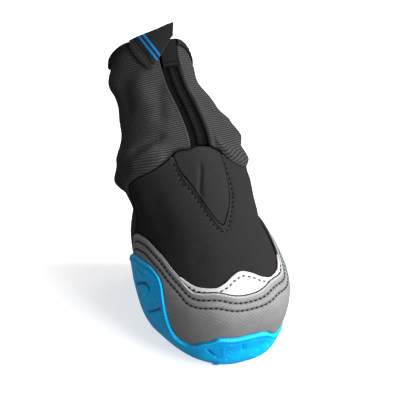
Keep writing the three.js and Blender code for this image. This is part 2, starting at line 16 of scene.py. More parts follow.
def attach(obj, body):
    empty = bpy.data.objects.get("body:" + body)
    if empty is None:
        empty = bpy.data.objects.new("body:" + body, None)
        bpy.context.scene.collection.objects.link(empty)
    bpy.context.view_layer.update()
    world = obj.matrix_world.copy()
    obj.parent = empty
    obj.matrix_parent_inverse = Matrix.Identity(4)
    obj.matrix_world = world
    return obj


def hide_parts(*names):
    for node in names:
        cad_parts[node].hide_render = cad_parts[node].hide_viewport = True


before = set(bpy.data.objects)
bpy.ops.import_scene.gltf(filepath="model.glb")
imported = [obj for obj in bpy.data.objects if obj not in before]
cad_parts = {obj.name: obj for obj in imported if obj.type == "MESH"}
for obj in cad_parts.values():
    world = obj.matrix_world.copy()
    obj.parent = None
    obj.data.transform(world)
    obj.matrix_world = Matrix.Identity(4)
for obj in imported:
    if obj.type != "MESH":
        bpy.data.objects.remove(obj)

LOG = logging.getLogger("dog_boot")
MM = 0.001
# mm between neighbours, and between the skin and what is sewn over it
FIT = 0.35
OVERLAY_FIT = 0.5
# mm round the forefoot in two degrees
TWO_DEGREES = 1.22
# square of the steepest slope of an edge that a seam beside it follows
STEEPEST = 12.0
Array = np.ndarray
Colour = tuple[float, float, float]


# Small numbers


def smooth(value: Array | float) -> Array:
    """Soft step: 0 below 0, 1 above 1, three t squared less two t cubed between.

    Args:
        value: where on the step.

    Returns:
        The step's height.
    """
    t = np.clip(value, 0.0, 1.0)
    return t * t * (3.0 - 2.0 * t)


def ramp(value: Array | float, start: Array | float, reach: Array | float) -> Array:
    """Soft step that starts at a value and is full a reach later."""
    return smooth((value - start) / reach)


def plateau(value: Array, start: float, rise: float, end: float, fall: float) -> Array:
    """Soft plateau: up from start over rise, and down from end over fall."""
    return ramp(value, start, rise) * (1 - ramp(value, end, fall))


def bump(value: Array | float, centre: float, reach: float) -> Array:
    """Soft hill: 1 at the centre, 0 at reach on both sides.

    Args:
        value: where on the hill.
        centre: its middle.
        reach: half its width.

    Returns:
        The hill's height.
    """
    return 1.0 - smooth(np.abs(np.asarray(value) - centre) / reach)


def pulse(phase: Array, duty: float, soft: float) -> Array:
    """Repeating soft bar: 1 where the phase's fraction is within duty, with soft flanks.

    Args:
        phase: position in periods.
        duty: share of the period that the bar fills.
        soft: width of a flank, as a share of the period.

    Returns:
        The bar's height.
    """
    off = np.abs(phase - np.round(phase))
    return 1.0 - smooth((off - duty / 2) / soft + 0.5)


def unit(vectors: Array) -> Array:
    """Vectors divided by their lengths."""
    return vectors / np.maximum(np.linalg.norm(vectors, axis=-1, keepdims=True), 1e-9)


def arc(points: Array, axis: int) -> Array:
    """Length along rows or columns of a grid: the running sum of the steps' lengths.

    Args:
        points: a grid of points.
        axis: 0 to run along rows' order, 1 along columns.

    Returns:
        The length at each grid point, 0 at the first.
    """
    steps = np.linalg.norm(np.diff(points, axis=axis), axis=-1)
    start = np.zeros_like(np.take(steps, [0], axis=axis))
    return np.cumsum(np.concatenate([start, steps], axis=axis), axis=axis)


def path_distance(points: Array, path: Array) -> tuple[Array, Array]:
    """Distance from points to a line of straight stretches.

    For each stretch a point's foot is its projection, held between the ends. The shortest
    distance over all stretches counts.

    Args:
        points: points, any grid, last axis x, y, z.
        path: the line's corners.

    Returns:
        The distance, and how far along the line the nearest place is, as a share.
    """
    best = np.full(points.shape[:-1], 1e9)
    where = np.zeros(points.shape[:-1])
    lengths = np.linalg.norm(np.diff(path, axis=0), axis=1)
    total = max(float(lengths.sum()), 1e-9)
    run = 0.0
    for a, b, length in zip(path[:-1], path[1:], lengths):
        along = b - a
        t = np.clip(((points - a) @ along) / max(float(along @ along), 1e-12), 0.0, 1.0)
        gap = np.linalg.norm(points - a - t[..., None] * along, axis=-1)
        nearer = gap < best
        best = np.where(nearer, gap, best)
        where = np.where(nearer, (run + t * length) / total, where)
        run += length
    return best, where


# The last


@dataclass(frozen=True)
class Last:
    """Form of the paw and the slack shaft: tilted rings between a front and a back point.

    Sizes are the CAD model's, in mm. The tables hold shares of them.
    """

    sole_length: float = 106.0
    ball_width: float = 70.0
    heel_width: float = 54.0
    ankle_height: float = 90.0
    shaft_rise: float = 44.0
    shaft_lean: float = 36.0
    collar_width: float = 39.0
    collar_wave: float = 4.0
    # front, front z, back, back z, fore, rear, blunt, blunt rear, from, to
    foot: tuple = (
        (0.088, 0.102, -0.019, 0.056, 0.83, 0.66, 0.68, 0.30, 0.40, 0.88),
        (0.052, 0.222, -0.009, 0.144, 0.92, 0.78, 0.68, 0.35, 0.40, 0.90),
        (0.030, 0.337, 0.000, 0.256, 0.975, 0.90, 0.70, 0.45, 0.40, 0.95),
        (0.041, 0.434, 0.005, 0.367, 0.985, 1.00, 0.74, 0.55, 0.35, 0.95),
        (0.106, 0.525, 0.000, 0.467, 0.93, 1.01, 0.85, 0.65, 0.30, 1.00),
        (0.208, 0.615, -0.009, 0.556, 0.835, 0.99, 0.85, 0.75, 0.20, 1.00),
        (0.325, 0.723, -0.028, 0.633, 0.815, 1.03, 0.90, 0.85, 0.10, 1.00),
        (0.474, 0.859, -0.038, 0.700, 0.865, 1.12, 0.95, 0.95, 0.00, 1.00),
        (0.615, 1.000, -0.030, 0.755, 0.875, 1.13, 1.00, 1.00, 0.00, 1.00),
    )
    # front, front z, back, back z, wide, side
    shaft: tuple = (
        (0.19, 0.14, 0.13, 0.11, 1.53, 0.02),
        (0.44, 0.33, 0.31, 0.30, 1.285, 0.0),
        (0.69, 0.56, 0.50, 0.52, 1.09, -0.07),
        (0.89, 0.78, 0.64, 0.75, 1.055, -0.10),
        (1.0, 1.0, 0.72, 0.95, 1.0, -0.10),
    )

    @property
    def seam(self) -> int:
        """Level of the ankle seam."""
        return len(self.foot) - 1

    @property
    def collar(self) -> int:
        """Level of the collar."""
        return len(self.foot) + len(self.shaft) - 1

    def sections(self) -> Array:
        """All rings in mm: front y, z, back y, z, fore, rear, blunt, blunt rear, from, to, side."""
        f = np.array(self.foot)
        toe, heel = -self.sole_length / 2, self.sole_length / 2
        rows = np.column_stack([
            toe + f[:, 0] * self.sole_length, f[:, 1] * self.ankle_height,
            heel + f[:, 2] * self.sole_length, f[:, 3] * self.ankle_height,
            f[:, 4] * self.ball_width / 2, f[:, 5] * self.heel_width / 2,
            f[:, 6:10], np.zeros(len(f)),
        ])
        s = np.array(self.shaft)
        ankle = rows[-1]
        one, nil = np.ones(len(s)), np.zeros(len(s))
        half = s[:, 4] * self.collar_width / 2
        upper = np.column_stack([
            ankle[0] + s[:, 0] * self.shaft_lean, ankle[1] + s[:, 1] * self.shaft_rise,
            ankle[2] + s[:, 2] * self.shaft_lean, ankle[3] + s[:, 3] * self.shaft_rise,
            half, half, one, one, nil, one, s[:, 5] * self.collar_width,
        ])
        return np.vstack([rows, upper])

    def ring(self, level: Array) -> Array:
        """Ring between the tables' rows, on a smooth curve through the four nearest.

        Args:
            level: row of the table, fractions between rows.

        Returns:
            The ring's eleven sizes on a last axis.
        """
        rows = self.sections()
        rows = np.vstack([2 * rows[0] - rows[1], rows, 2 * rows[-1] - rows[-2]])
        v = np.clip(level, 0, self.collar)
        i = np.minimum(v.astype(int), self.collar - 1)
        t = (v - i)[..., None]
        p0, p1, p2, p3 = (rows[i + k] for k in range(4))
        curve = (3 * p1 - p0 - 3 * p2 + p3) * t + (2 * p0 - 5 * p1 + 4 * p2 - p3)
        return 0.5 * ((curve * t + (p2 - p0)) * t + 2 * p1)

    def point(self, angle: Array, level: Array) -> Array:
        """Point of the skin: an ellipse-like ring in plan, laid on the ring's tilted plane.

        Args:
            angle: degrees from the toe, positive to the boot's left.
            level: row of the tables.

        Returns:
            Points in mm.
        """
        angle, level = np.broadcast_arrays(np.asarray(angle, float), np.asarray(level, float))
        c = np.moveaxis(self.ring(level), -1, 0)
        turn = np.radians(angle)
        s = (1 - np.cos(turn)) / 2
        b = smooth((s - c[8]) / (c[9] - c[8]))
        half = c[4] * (1 - b) + c[5] * b
        power = c[6] * (1 - b) + c[7] * b
        sine = np.sin(turn)
        wave = self.collar_wave * bump(angle, -58, 58) * smooth((level - self.collar) / 1.5 + 1)
        return np.stack([
            c[10] + np.sign(sine) * half * np.abs(sine) ** power,
            c[0] + (c[2] - c[0]) * s,
            c[1] + (c[3] - c[1]) * s + wave,
        ], axis=-1)

    def normal(self, angle: Array, level: Array) -> Array:
        """Outward direction: the step round the ring crossed with the step up the skin."""
        angle, level = np.broadcast_arrays(np.asarray(angle, float), np.asarray(level, float))
        low, high = np.maximum(level - 0.05, 0), np.minimum(level + 0.05, self.collar)
        around = self.point(angle + 0.6, level) - self.point(angle - 0.6, level)
        up = self.point(angle, high) - self.point(angle, low)
        return unit(np.cross(around, up))

    def skin(self, angle: Array, level: Array, lift: Array | float = 0.0) -> Array:
        """Point moved off the skin along its outward direction.

        Args:
            angle: degrees from the toe.
            level: row of the tables.
            lift: distance outwards in mm.

        Returns:
            Points in mm.
        """
        lift = np.asarray(lift, float)
        return self.point(angle, level) + self.normal(angle, level) * lift[..., None]

    def level_at(self, angle: Array, height: Array) -> Array:
        """Level where the skin reaches a height, found by halving the range 26 times.

        Args:
            angle: degrees from the toe.
            height: mm over the floor.

        Returns:
            The level.
        """
        angle, height = np.broadcast_arrays(np.asarray(angle, float), np.asarray(height, float))
        low, high = np.zeros(angle.shape), np.full(angle.shape, float(self.collar))
        for _ in range(26):
            mid = (low + high) / 2
            under = self.point(angle, mid)[..., 2] < height
            low, high = np.where(under, mid, low), np.where(under, high, mid)
        return (low + high) / 2

    def at_height(self, angle: Array, height: Array, lift: float = 0.0) -> Array:
        """Point of the skin at a height."""
        return self.skin(angle, self.level_at(angle, height), lift)


LAST = Last()


@dataclass(frozen=True)
class Edge:
    """A piece's edge round the boot: height as a share of a named height, by angle."""

    rows: tuple
    unit: float

    def height(self, angle: Array, gap: float = 0.0) -> Array:
        """Height of the edge on a curve through its rows that never overshoots them.

        Slopes at the rows are the harmonic mean of the neighbours', or nought at a peak.

        Args:
            angle: degrees from the toe, the same on both sides.
            gap: moves the edge up, measured square to it.

        Returns:
            Height in mm.
        """
        a = np.abs(np.asarray(angle, float))
        level = self._curve(a)
        if gap == 0.0:
            return level
        slope = (self._curve(a + 1) - self._curve(np.maximum(a - 1, 0))) / TWO_DEGREES
        return level + gap * np.sqrt(1 + slope**2)

    def _curve(self, a: Array) -> Array:
        """Hermite curve through the rows."""
        x, y = np.array(self.rows).T
        h, d = np.diff(x), np.diff(y) / np.diff(x)
        inner = np.where(d[:-1] * d[1:] > 0, 2 * d[:-1] * d[1:] / (d[:-1] + d[1:] + 1e-12), 0)
        m = np.concatenate([[0.0], inner, [d[-1]]])
        a = np.clip(a, x[0], x[-1])
        k = np.clip(np.searchsorted(x, a, side="right") - 1, 0, len(h) - 1)
        t = (a - x[k]) / h[k]
        rise = (2 * t**3 - 3 * t**2 + 1) * y[k] + (-2 * t**3 + 3 * t**2) * y[k + 1]
        lean = (t**3 - 2 * t**2 + t) * m[k] + (t**3 - t**2) * m[k + 1]
        return (rise + lean * h[k]) * self.unit


WING_HEIGHT = 45.0
SOLE_EDGE = Edge(((0, .55), (12, .565), (22, .48), (33, .39), (43, .365), (50, .39), (53, .43),
                  (57, .54), (59, .65), (61, .82), (63, .92), (67, .975), (74, 1), (86, .97),
                  (100, .90), (106, .83), (118, .645), (130, .455), (144, .305), (160, .235),
                  (180, .225)), WING_HEIGHT)
RAND_TOP = Edge(((0, .487), (14, .476), (24, .470), (36, .482), (48, .522), (54, .540),
                 (66, .572), (80, .582), (94, .560), (104, .520)), LAST.ankle_height)
TRIM_TOP = Edge(((0, .569), (6, .558), (14, .532), (22, .515), (34, .512), (48, .530)),
                LAST.ankle_height)
THROAT = Edge(((0, .733), (5, .756), (10, .781), (14, .806), (18, .844), (21, .889), (24, .967),
               (28, .952), (35, .922), (50, .876), (74, .833), (86, .800), (93, .744), (98, .667),
               (104, .560), (109, .460), (114, .370), (118, .3225)), LAST.ankle_height)
GUSSET_TOP = Edge(((0, 1.022), (12, 1.011), (20, .989), (24, .978)), LAST.ankle_height)
SHELL_END = 118.0
RAND_END = 104.0
TRIM_END = 48.0
THROAT_END = 24.0
THROAT_CEILING = 0.968 * LAST.ankle_height


@dataclass(frozen=True)
class Hill:
    """A soft rise set on an edge: its size, and its middle and reach in degrees."""

    size: float
    middle: float
    reach: float

    def at(self, angle: Array) -> Array:
        """Size times the soft hill at an angle."""
        return self.size * bump(angle, self.middle, self.reach)


BUMPER_TURN = Hill(6.0, 0, 60)
BUMPER_DIP = Hill(3.0, 17, 22)
WING_DIP = Hill(4.0, 72, 26)
BUMPER_FILL = Hill(1.2, -31, 11)
RAND_BOW = Hill(3.0, 22, 22)
TRIM_LEAN = Hill(0.6, -18, 30)
GUSSET_LEAN = Hill(2.0, -22, 14)
THROAT_LEAN = Hill(5.0, -15, 12)
SHELL_LEAN = Hill(3.8, -46, 48)


def sole_edge(angle: Array, gap: float = 0.0) -> Array:
    """Upper edge of the rubber; bumper and wing stand higher on the boot's right side."""
    turned = SOLE_EDGE.height(angle + BUMPER_TURN.at(angle), gap)
    return turned - (BUMPER_DIP.at(angle) + WING_DIP.at(angle)) + BUMPER_FILL.at(angle)


def rand_top(angle: Array, gap: float = 0.0) -> Array:
    """Upper edge of the rand, bowed up beside the toe."""
    return RAND_TOP.height(angle, gap) + RAND_BOW.at(np.abs(angle))


def trim_top(angle: Array) -> Array:
    """Upper edge of the silver trim, a little higher on the boot's right."""
    return TRIM_TOP.height(angle) + TRIM_LEAN.at(angle)


def gusset_top(angle: Array, gap: float = 0.0) -> Array:
    """Upper edge of the throat gusset, higher on the boot's right."""
    return GUSSET_TOP.height(angle, gap) + GUSSET_LEAN.at(angle)


def shell_edge(angle: Array, gap: float = 0.0) -> Array:
    """Upper edge of the softshell: the throat's line in front, the sole's edge behind.

    The throat's side on the boot's right is the steeper one, and the edge beside it is higher.
    """
    behind = np.abs(angle) >= SHELL_END
    front = np.minimum(THROAT.height(angle, gap) + THROAT_LEAN.at(angle), THROAT_CEILING + gap)
    return np.where(behind, sole_edge(angle, gap), front + SHELL_LEAN.at(angle))


# Meshes


def add_object(name: str, data: Any) -> bpy.types.Object:
    """A new object of the scene that holds this mesh, lamp or camera."""
    made = bpy.data.objects.new(name, data)
    bpy.context.scene.collection.objects.link(made)
    return made


@dataclass
class Soup:
    """Points and faces of one piece while it is put together, in mm."""

    points: list = field(default_factory=list)
    quads: list = field(default_factory=list)
    tris: list = field(default_factory=list)
    marks: dict = field(default_factory=dict)
    uvs: list = field(default_factory=list)
    tri_uvs: list = field(default_factory=list)
    count: int = 0

    def add_points(self, points: Array, **marks: Array) -> Array:
        """Adds points and their marks.

        Args:
            points: points, any grid.
            marks: one number a point, by mark's name.

        Returns:
            The points' indices, in the grid's shape.
        """
        shape = points.shape[:-1]
        size = int(np.prod(shape))
        self.points.append(points.reshape(-1, 3))
        for name in set(marks) | set(self.marks):
            rows = self.marks.setdefault(name, [np.zeros(self.count)] if self.count else [])
            value = marks.get(name)
            flat = np.zeros(size) if value is None else np.broadcast_to(value, shape).reshape(-1)
            rows.append(flat)
        start = self.count
        self.count += size
        return np.arange(start, self.count).reshape(shape)

    def add_quads(self, ids: Array, place: Optional[Array] = None, looped: bool = False) -> None:
        """Faces between the neighbours of a grid of indices.

        Args:
            ids: indices, rows upwards and columns round.
            place: a pair of mm along the cloth for each grid point; looped grids have one more
                column.
            looped: joins the last column to the first.
        """
        full = np.concatenate([ids, ids[:, :1]], axis=1) if looped else ids
        if place is None:
            place = np.zeros(full.shape + (2,))
        corners = [(slice(None, -1), slice(None, -1)), (slice(None, -1), slice(1, None)),
                   (slice(1, None), slice(1, None)), (slice(1, None), slice(None, -1))]
        self.quads.append(np.stack([full[c] for c in corners], -1).reshape(-1, 4))
        self.uvs.append(np.stack([place[c] for c in corners], -2).reshape(-1, 4, 2))

    def add_tris(self, tris: Array) -> None:
        """Adds triangles of indices."""
        self.tris.append(np.asarray(tris).reshape(-1, 3))
        self.tri_uvs.append(np.zeros((len(self.tris[-1]), 3, 2)))

    def fan(self, pole: int, ring: Array, turn: bool) -> None:
        """Closes a ring of indices round one point, facing the other way where turned."""
        after = np.roll(ring, -1)
        pair = (after, ring) if turn else (ring, after)
        self.add_tris(np.stack([np.full(len(ring), pole), *pair], -1))

    def bridge(self, a: Array, b: Array, turn: bool) -> None:
        """Closes the band between two open lines of unlike counts with triangles.

        Each stretch of the longer line a joins the place of the same share on b.

        Args:
            a: indices of the denser line.
            b: indices of the coarser line, running alike.
            turn: faces the band the other way.
        """
        mate = np.round(np.arange(len(a)) * (len(b) - 1) / (len(a) - 1)).astype(int)
        first = np.stack([a[:-1], a[1:], b[mate[1:]]], -1)
        moved = mate[1:] > mate[:-1]
        second = np.stack([a[:-1], b[mate[1:]], b[mate[:-1]]], -1)[moved]
        tris = np.concatenate([first, second])
        self.add_tris(tris[:, ::-1] if turn else tris)

    def build(self, name: str, sharp: float = 180.0) -> bpy.types.Object:
        """Writes the mesh and links its object.

        Args:
            name: the piece's name.
            sharp: edges that fold by more degrees than this are shaded as corners.

        Returns:
            The object, at the origin.
        """
        quads = np.concatenate(self.quads) if self.quads else np.zeros((0, 4), int)
        tris = np.concatenate(self.tris) if self.tris else np.zeros((0, 3), int)
        mesh = bpy.data.meshes.new(name)
        points = np.concatenate(self.points) * MM
        mesh.vertices.add(len(points))
        mesh.vertices.foreach_set("co", points.astype(np.float32).ravel())
        loops = np.concatenate([quads.ravel(), tris.ravel()]).astype(np.int32)
        mesh.loops.add(len(loops))
        mesh.loops.foreach_set("vertex_index", loops)
        totals = np.concatenate([np.full(len(quads), 4), np.full(len(tris), 3)]).astype(np.int32)
        mesh.polygons.add(len(totals))
        starts = np.concatenate([[0], np.cumsum(totals)[:-1]]).astype(np.int32)
        mesh.polygons.foreach_set("loop_start", starts)
        mesh.polygons.foreach_set("use_smooth", np.ones(len(totals), bool))
        mesh.update(calc_edges=True)
        flat = [u.reshape(-1, 2) for u in self.uvs + self.tri_uvs]
        layer = mesh.uv_layers.new(name="cloth")
        layer.data.foreach_set("uv", np.concatenate(flat).astype(np.float32).ravel())
        for mark, rows in self.marks.items():
            attribute = mesh.attributes.new(mark, "FLOAT", "POINT")
            attribute.data.foreach_set("value", np.concatenate(rows).astype(np.float32))
        if sharp < 180.0:
            mesh.set_sharp_from_angle(angle=math.radians(sharp))
        return add_object(name, mesh)


def column_angles(start: float, end: float, count: int, looped: bool = False) -> Array:
    """Evenly spaced angles in degrees.

    Args:
        start: first angle.
        end: last angle.
        count: stretches between them.
        looped: leaves out the first, which is the last turned full circle.

    Returns:
        The angles.
    """
    angles = np.linspace(start, end, count + 1)
    return angles[1:] if looped else angles


def full_turn(count: int) -> Array:
    """Evenly spaced angles once round from the toe, those past the heel as negative ones."""
    angle = column_angles(0, 360, count)[:-1]
    return np.where(angle > 180, angle - 360, angle)


def eased(count: int, pull: float = 0.6) -> Array:
    """Shares from 0 to 1 that lie closer near both ends.

    Args:
        count: stretches.
        pull: 0 for even steps, 1 for a full cosine.

    Returns:
        The shares.
    """
    t = np.linspace(0, 1, count + 1)
    return (1 - pull) * t + pull * (1 - np.cos(np.pi * t)) / 2


@dataclass
class Patch:
    """A grid on the last's skin: where it is, and its lengths along the cloth."""

    angle: Array
    level: Array
    looped: bool = False

    def __post_init__(self) -> None:
        """Works out the points, the outward directions and the cloth's lengths."""
        self.angle, self.level = np.broadcast_arrays(self.angle, self.level)
        self.base = LAST.point(self.angle, self.level)
        self.out = LAST.normal(self.angle, self.level)
        full = np.concatenate([self.base, self.base[:, :1]], axis=1) if self.looped else self.base
        middle = int(np.argmin(np.abs(self.angle[0])))
        around = arc(full, 1)
        around = around - around[:, middle:middle + 1]
        up = arc(full, 0)
        self.place = np.stack([around, up], -1)
        self.u = around[:, : self.base.shape[1]]
        self.v = up[:, : self.base.shape[1]]
        self.top = self.v[-1] - self.v

    def lifted(self, lift: Array | float) -> Array:
        """The grid's points moved outwards by lift in mm."""
        return self.base + self.out * np.broadcast_to(lift, self.u.shape)[..., None]


def wall(name: str, face: Patch, lift: Array, back: Patch, depth: Array | float,
         sharp: float = 180.0, **marks: Array) -> bpy.types.Object:
    """A closed shell of cloth: the face's grid, the back's grid and the bands between.

    Args:
        name: the piece's name.
        face: the outer grid, rows upwards.
        lift: the outer grid's lift in mm.
        back: the inner grid with the same columns.
        depth: the inner grid's lift in mm.
        sharp: shading angle for corners.
        marks: numbers on the outer grid's points.

    Returns:
        The piece.
    """
    soup = Soup()
    outer = soup.add_points(face.lifted(lift), **marks)
    inner = soup.add_points(back.lifted(depth))
    soup.add_quads(outer, face.place, face.looped)
    soup.add_quads(inner[::-1], back.place[::-1], face.looped)
    top_place = np.stack([face.place[-1], face.place[-1]])
    low_place = np.stack([face.place[0], face.place[0]])
    soup.add_quads(np.stack([outer[-1], inner[-1]]), top_place, face.looped)
    soup.add_quads(np.stack([inner[0], outer[0]]), low_place, face.looped)
    if not face.looped:
        soup.bridge(outer[:, 0], inner[:, 0], False)
        soup.bridge(outer[:, -1], inner[:, -1], True)
    return soup.build(name, sharp)


def rounded(distance: Array, radius: float) -> Array:
    """How far a rounded rim falls: a quarter circle over the last radius mm before an edge.

    Args:
        distance: mm to the edge.
        radius: the rounding's radius.

    Returns:
        The drop in mm, nought away from the edge.
    """
    t = np.clip(1 - distance / radius, 0, 1)
    return radius * (1 - np.sqrt(1 - t**2))


@dataclass(frozen=True)
class Fold:
    """A crease or groove drawn on the boot, as a soft line.

    places are pairs of angle in degrees and height in mm. depth is negative for a trough.
    """

    places: tuple
    width: float
    depth: float
    fade: float = 0.25

    def lift(self, points: Array, off: float = 0.0) -> Array:
        """Lift from the fold: depth times a bell over the distance, faded at its ends.

        Args:
            points: points of a grid in mm.
            off: how far the line itself lies off the skin.

        Returns:
            Lift in mm.
        """
        angle, height = np.array(self.places, float).T
        t = np.linspace(0, 1, len(angle))
        fine = np.linspace(0, 1, 8 * (len(angle) - 1) + 1)
        path = LAST.at_height(np.interp(fine, t, angle), np.interp(fine, t, height), off)
        gap, along = path_distance(points, path)
        ends = smooth(along / self.fade) * smooth((1 - along) / self.fade)
        return self.depth * np.exp(-((gap / self.width) ** 2)) * ends


def fold_lift(points: Array, folds: Sequence[Fold], off: float = 0.0) -> Array:
    """Sum of several folds' lifts."""
    total = np.zeros(points.shape[:-1])
    for fold in folds:
        total = total + fold.lift(points, off)
    return total


@dataclass(frozen=True)
class Seam:
    """A row of stitches along a line on the boot."""

    pitch: float = 2.75
    length: float = 1.7
    width: float = 0.8
    rise: float = 0.32

    def spots(self, path: Array, out: Array) -> tuple[Array, Array, Array]:
        """Middles, directions and outward directions of the stitches, evenly along a path.

        Args:
            path: dense points in mm.
            out: outward directions at them.

        Returns:
            Middles, directions and outward directions.
        """
        run = arc(path[None], 1)[0]
        count = max(int(run[-1] / self.pitch), 1)
        at = (np.arange(count) + 0.5) * run[-1] / count

        def along(where: Array, values: Array) -> Array:
            """Values at these lengths, straight between the path's points."""
            return np.stack([np.interp(where, run, values[:, k]) for k in range(3)], -1)

        ahead, behind = along(at + 0.3, path), along(at - 0.3, path)
        return along(at, path), unit(ahead - behind), unit(along(at, out))

    def add(self, soup: Soup, path: Array, out: Array) -> None:
        """Adds each stitch as a small bead stretched along the seam.

        A bead is an ellipsoid of five rings of six points, half sunk in the cloth.

        Args:
            soup: where they go.
            path: dense points in mm.
            out: outward directions at them.
        """
        middle, along, normal = self.spots(path, out)
        side = np.cross(normal, along)
        t = np.radians(np.array([-90, -50, 0, 50, 90]))
        a = np.radians(np.arange(6) * 60)
        reach, size = np.sin(t)[:, None], np.cos(t)[:, None]
        x = np.broadcast_to(reach, (5, 6)) * self.length / 2
        y = size * np.cos(a) * self.width / 2
        z = size * np.sin(a) * self.rise
        shape = (x[None, ..., None] * along[:, None, None] + y[None, ..., None] * side[:, None, None]
                 + z[None, ..., None] * normal[:, None, None] + middle[:, None, None])
        for bead in shape:
            ids = soup.add_points(bead[1:4])
            soup.add_quads(ids, looped=True)
            ends = soup.add_points(bead[[0, 4], 0])
            soup.fan(ends[0], ids[0], True)
            soup.fan(ends[1], ids[2], False)

    def dents(self, points: Array, path: Array, out: Array, depth: float, reach: float) -> Array:
        """Lift of the cloth that each stitch pulls in: a bell round its middle, minus depth.

        Args:
            points: grid in mm.
            path: the seam's dense points.
            out: outward directions.
            depth: how deep in mm.
            reach: the bell's width in mm.

        Returns:
            Lift in mm.
        """
        middle, along, _ = self.spots(path, out)
        total = np.zeros(points.shape[:-1])
        for m, d in zip(middle, along):
            off = points - m
            run = off @ d
            across = np.linalg.norm(off - run[..., None] * d, axis=-1)
            over = np.maximum(np.abs(run) - self.length / 2, 0)
            total = np.maximum(total, np.exp(-((over**2 + across**2) / reach**2)))
        return -depth * total


RAND_SEAM = Seam(2.5, 1.6, 0.8, 0.34)
THROAT_SEAM = Seam(2.6, 1.5, 1.05, 0.36)
TRIM_SEAM = Seam(2.6, 1.4)


def edge_path(edge: Callable[[Array], Array], start: float, end: float, drop: float, lift: float,
              count: int = 400) -> tuple[Array, Array]:
    """Line on the skin beside an edge.

    Args:
        edge: height of the edge at an angle.
        start: first angle.
        end: last angle.
        drop: mm below the edge.
        lift: mm off the skin.
        count: points.

    Returns:
        Points and outward directions.
    """
    angle = np.linspace(start, end, count)
    slope = (edge(angle + 1) - edge(angle - 1)) / TWO_DEGREES
    height = edge(angle) - drop * np.sqrt(1 + np.minimum(slope**2, STEEPEST))
    level = LAST.level_at(angle, height)
    return LAST.skin(angle, level, lift), LAST.normal(angle, level)


def tube(name: str, path: Array, out: Array, radius: float, around: int = 10,
         taper: float = 0.04) -> bpy.types.Object:
    """A round cord along a path, closed at both ends by rings that shrink to a point.

    Args:
        name: the piece's name.
        path: dense points in mm.
        out: outward directions at them.
        radius: mm.
        around: points of a ring.
        taper: share of the length where it narrows at each end.

    Returns:
        The piece.
    """
    along = unit(np.gradient(path, axis=0))
    side = unit(np.cross(out, along))
    up = np.cross(along, side)
    run = arc(path[None], 1)[0]
    share = run / run[-1]
    size = radius * np.sqrt(np.clip(np.minimum(share, 1 - share) / taper, 0.0, 1.0))
    a = np.linspace(0, 2 * np.pi, around, endpoint=False)
    ring = side[:, None] * np.cos(a)[None, :, None] + up[:, None] * np.sin(a)[None, :, None]
    points = path[:, None] + ring * size[:, None, None]
    soup = Soup()
    ids = soup.add_points(points[1:-1])
    place = np.stack(np.broadcast_arrays(run[1:-1, None], a[None] * radius), -1)
    place = np.concatenate([place, place[:, :1] + [0, 2 * np.pi * radius]], axis=1)
    soup.add_quads(ids[::-1], place[::-1], looped=True)
    ends = soup.add_points(path[[0, -1]])
    soup.fan(ends[0], ids[0], False)
    soup.fan(ends[1], ids[-1], True)
    return soup.build(name)


# Shaders


def operator(operation: str, turned: bool = False) -> Callable[["Sock", Any], "Sock"]:
    """A method of Sock that adds one Math node for an operator.

    Args:
        operation: the Math node's operation.
        turned: the socket is the right-hand value.

    Returns:
        The method.
    """
    def method(self: "Sock", other: Any) -> "Sock":
        """One Math node on the two values, in their order."""
        return self.math(operation, *((other, self) if turned else (self, other)))

    return method


class Sock:
    """A shader socket in an expression: its operators add Math nodes."""

    def __init__(self, graph: "Graph", socket: Any) -> None:
        """Keeps the socket and the material's graph."""
        self.graph = graph
        self.socket = socket

    def math(self, operation: str, *values: Any) -> "Sock":
        """One Math node on these values."""
        return self.graph.node("ShaderNodeMath", {"operation": operation}, list(values))

    __add__ = operator("ADD")
    __radd__ = operator("ADD", turned=True)
    __sub__ = operator("SUBTRACT")
    __rsub__ = operator("SUBTRACT", turned=True)
    __mul__ = operator("MULTIPLY")
    __rmul__ = operator("MULTIPLY", turned=True)

    def sine(self) -> "Sock":
        """Sine."""
        return self.math("SINE", self)

    def wave(self, pitch: float) -> "Sock":
        """Sine wave of this period, from 0 to 1."""
        return (self * (2 * math.pi / pitch)).sine() * 0.5 + 0.5

    def step(self, low: float, high: float) -> "Sock":
        """Soft step from 0 at low to 1 at high."""
        settings = {"interpolation_type": "SMOOTHSTEP", "clamp": True}
        return self.graph.node("ShaderNodeMapRange", settings, [self, low, high])


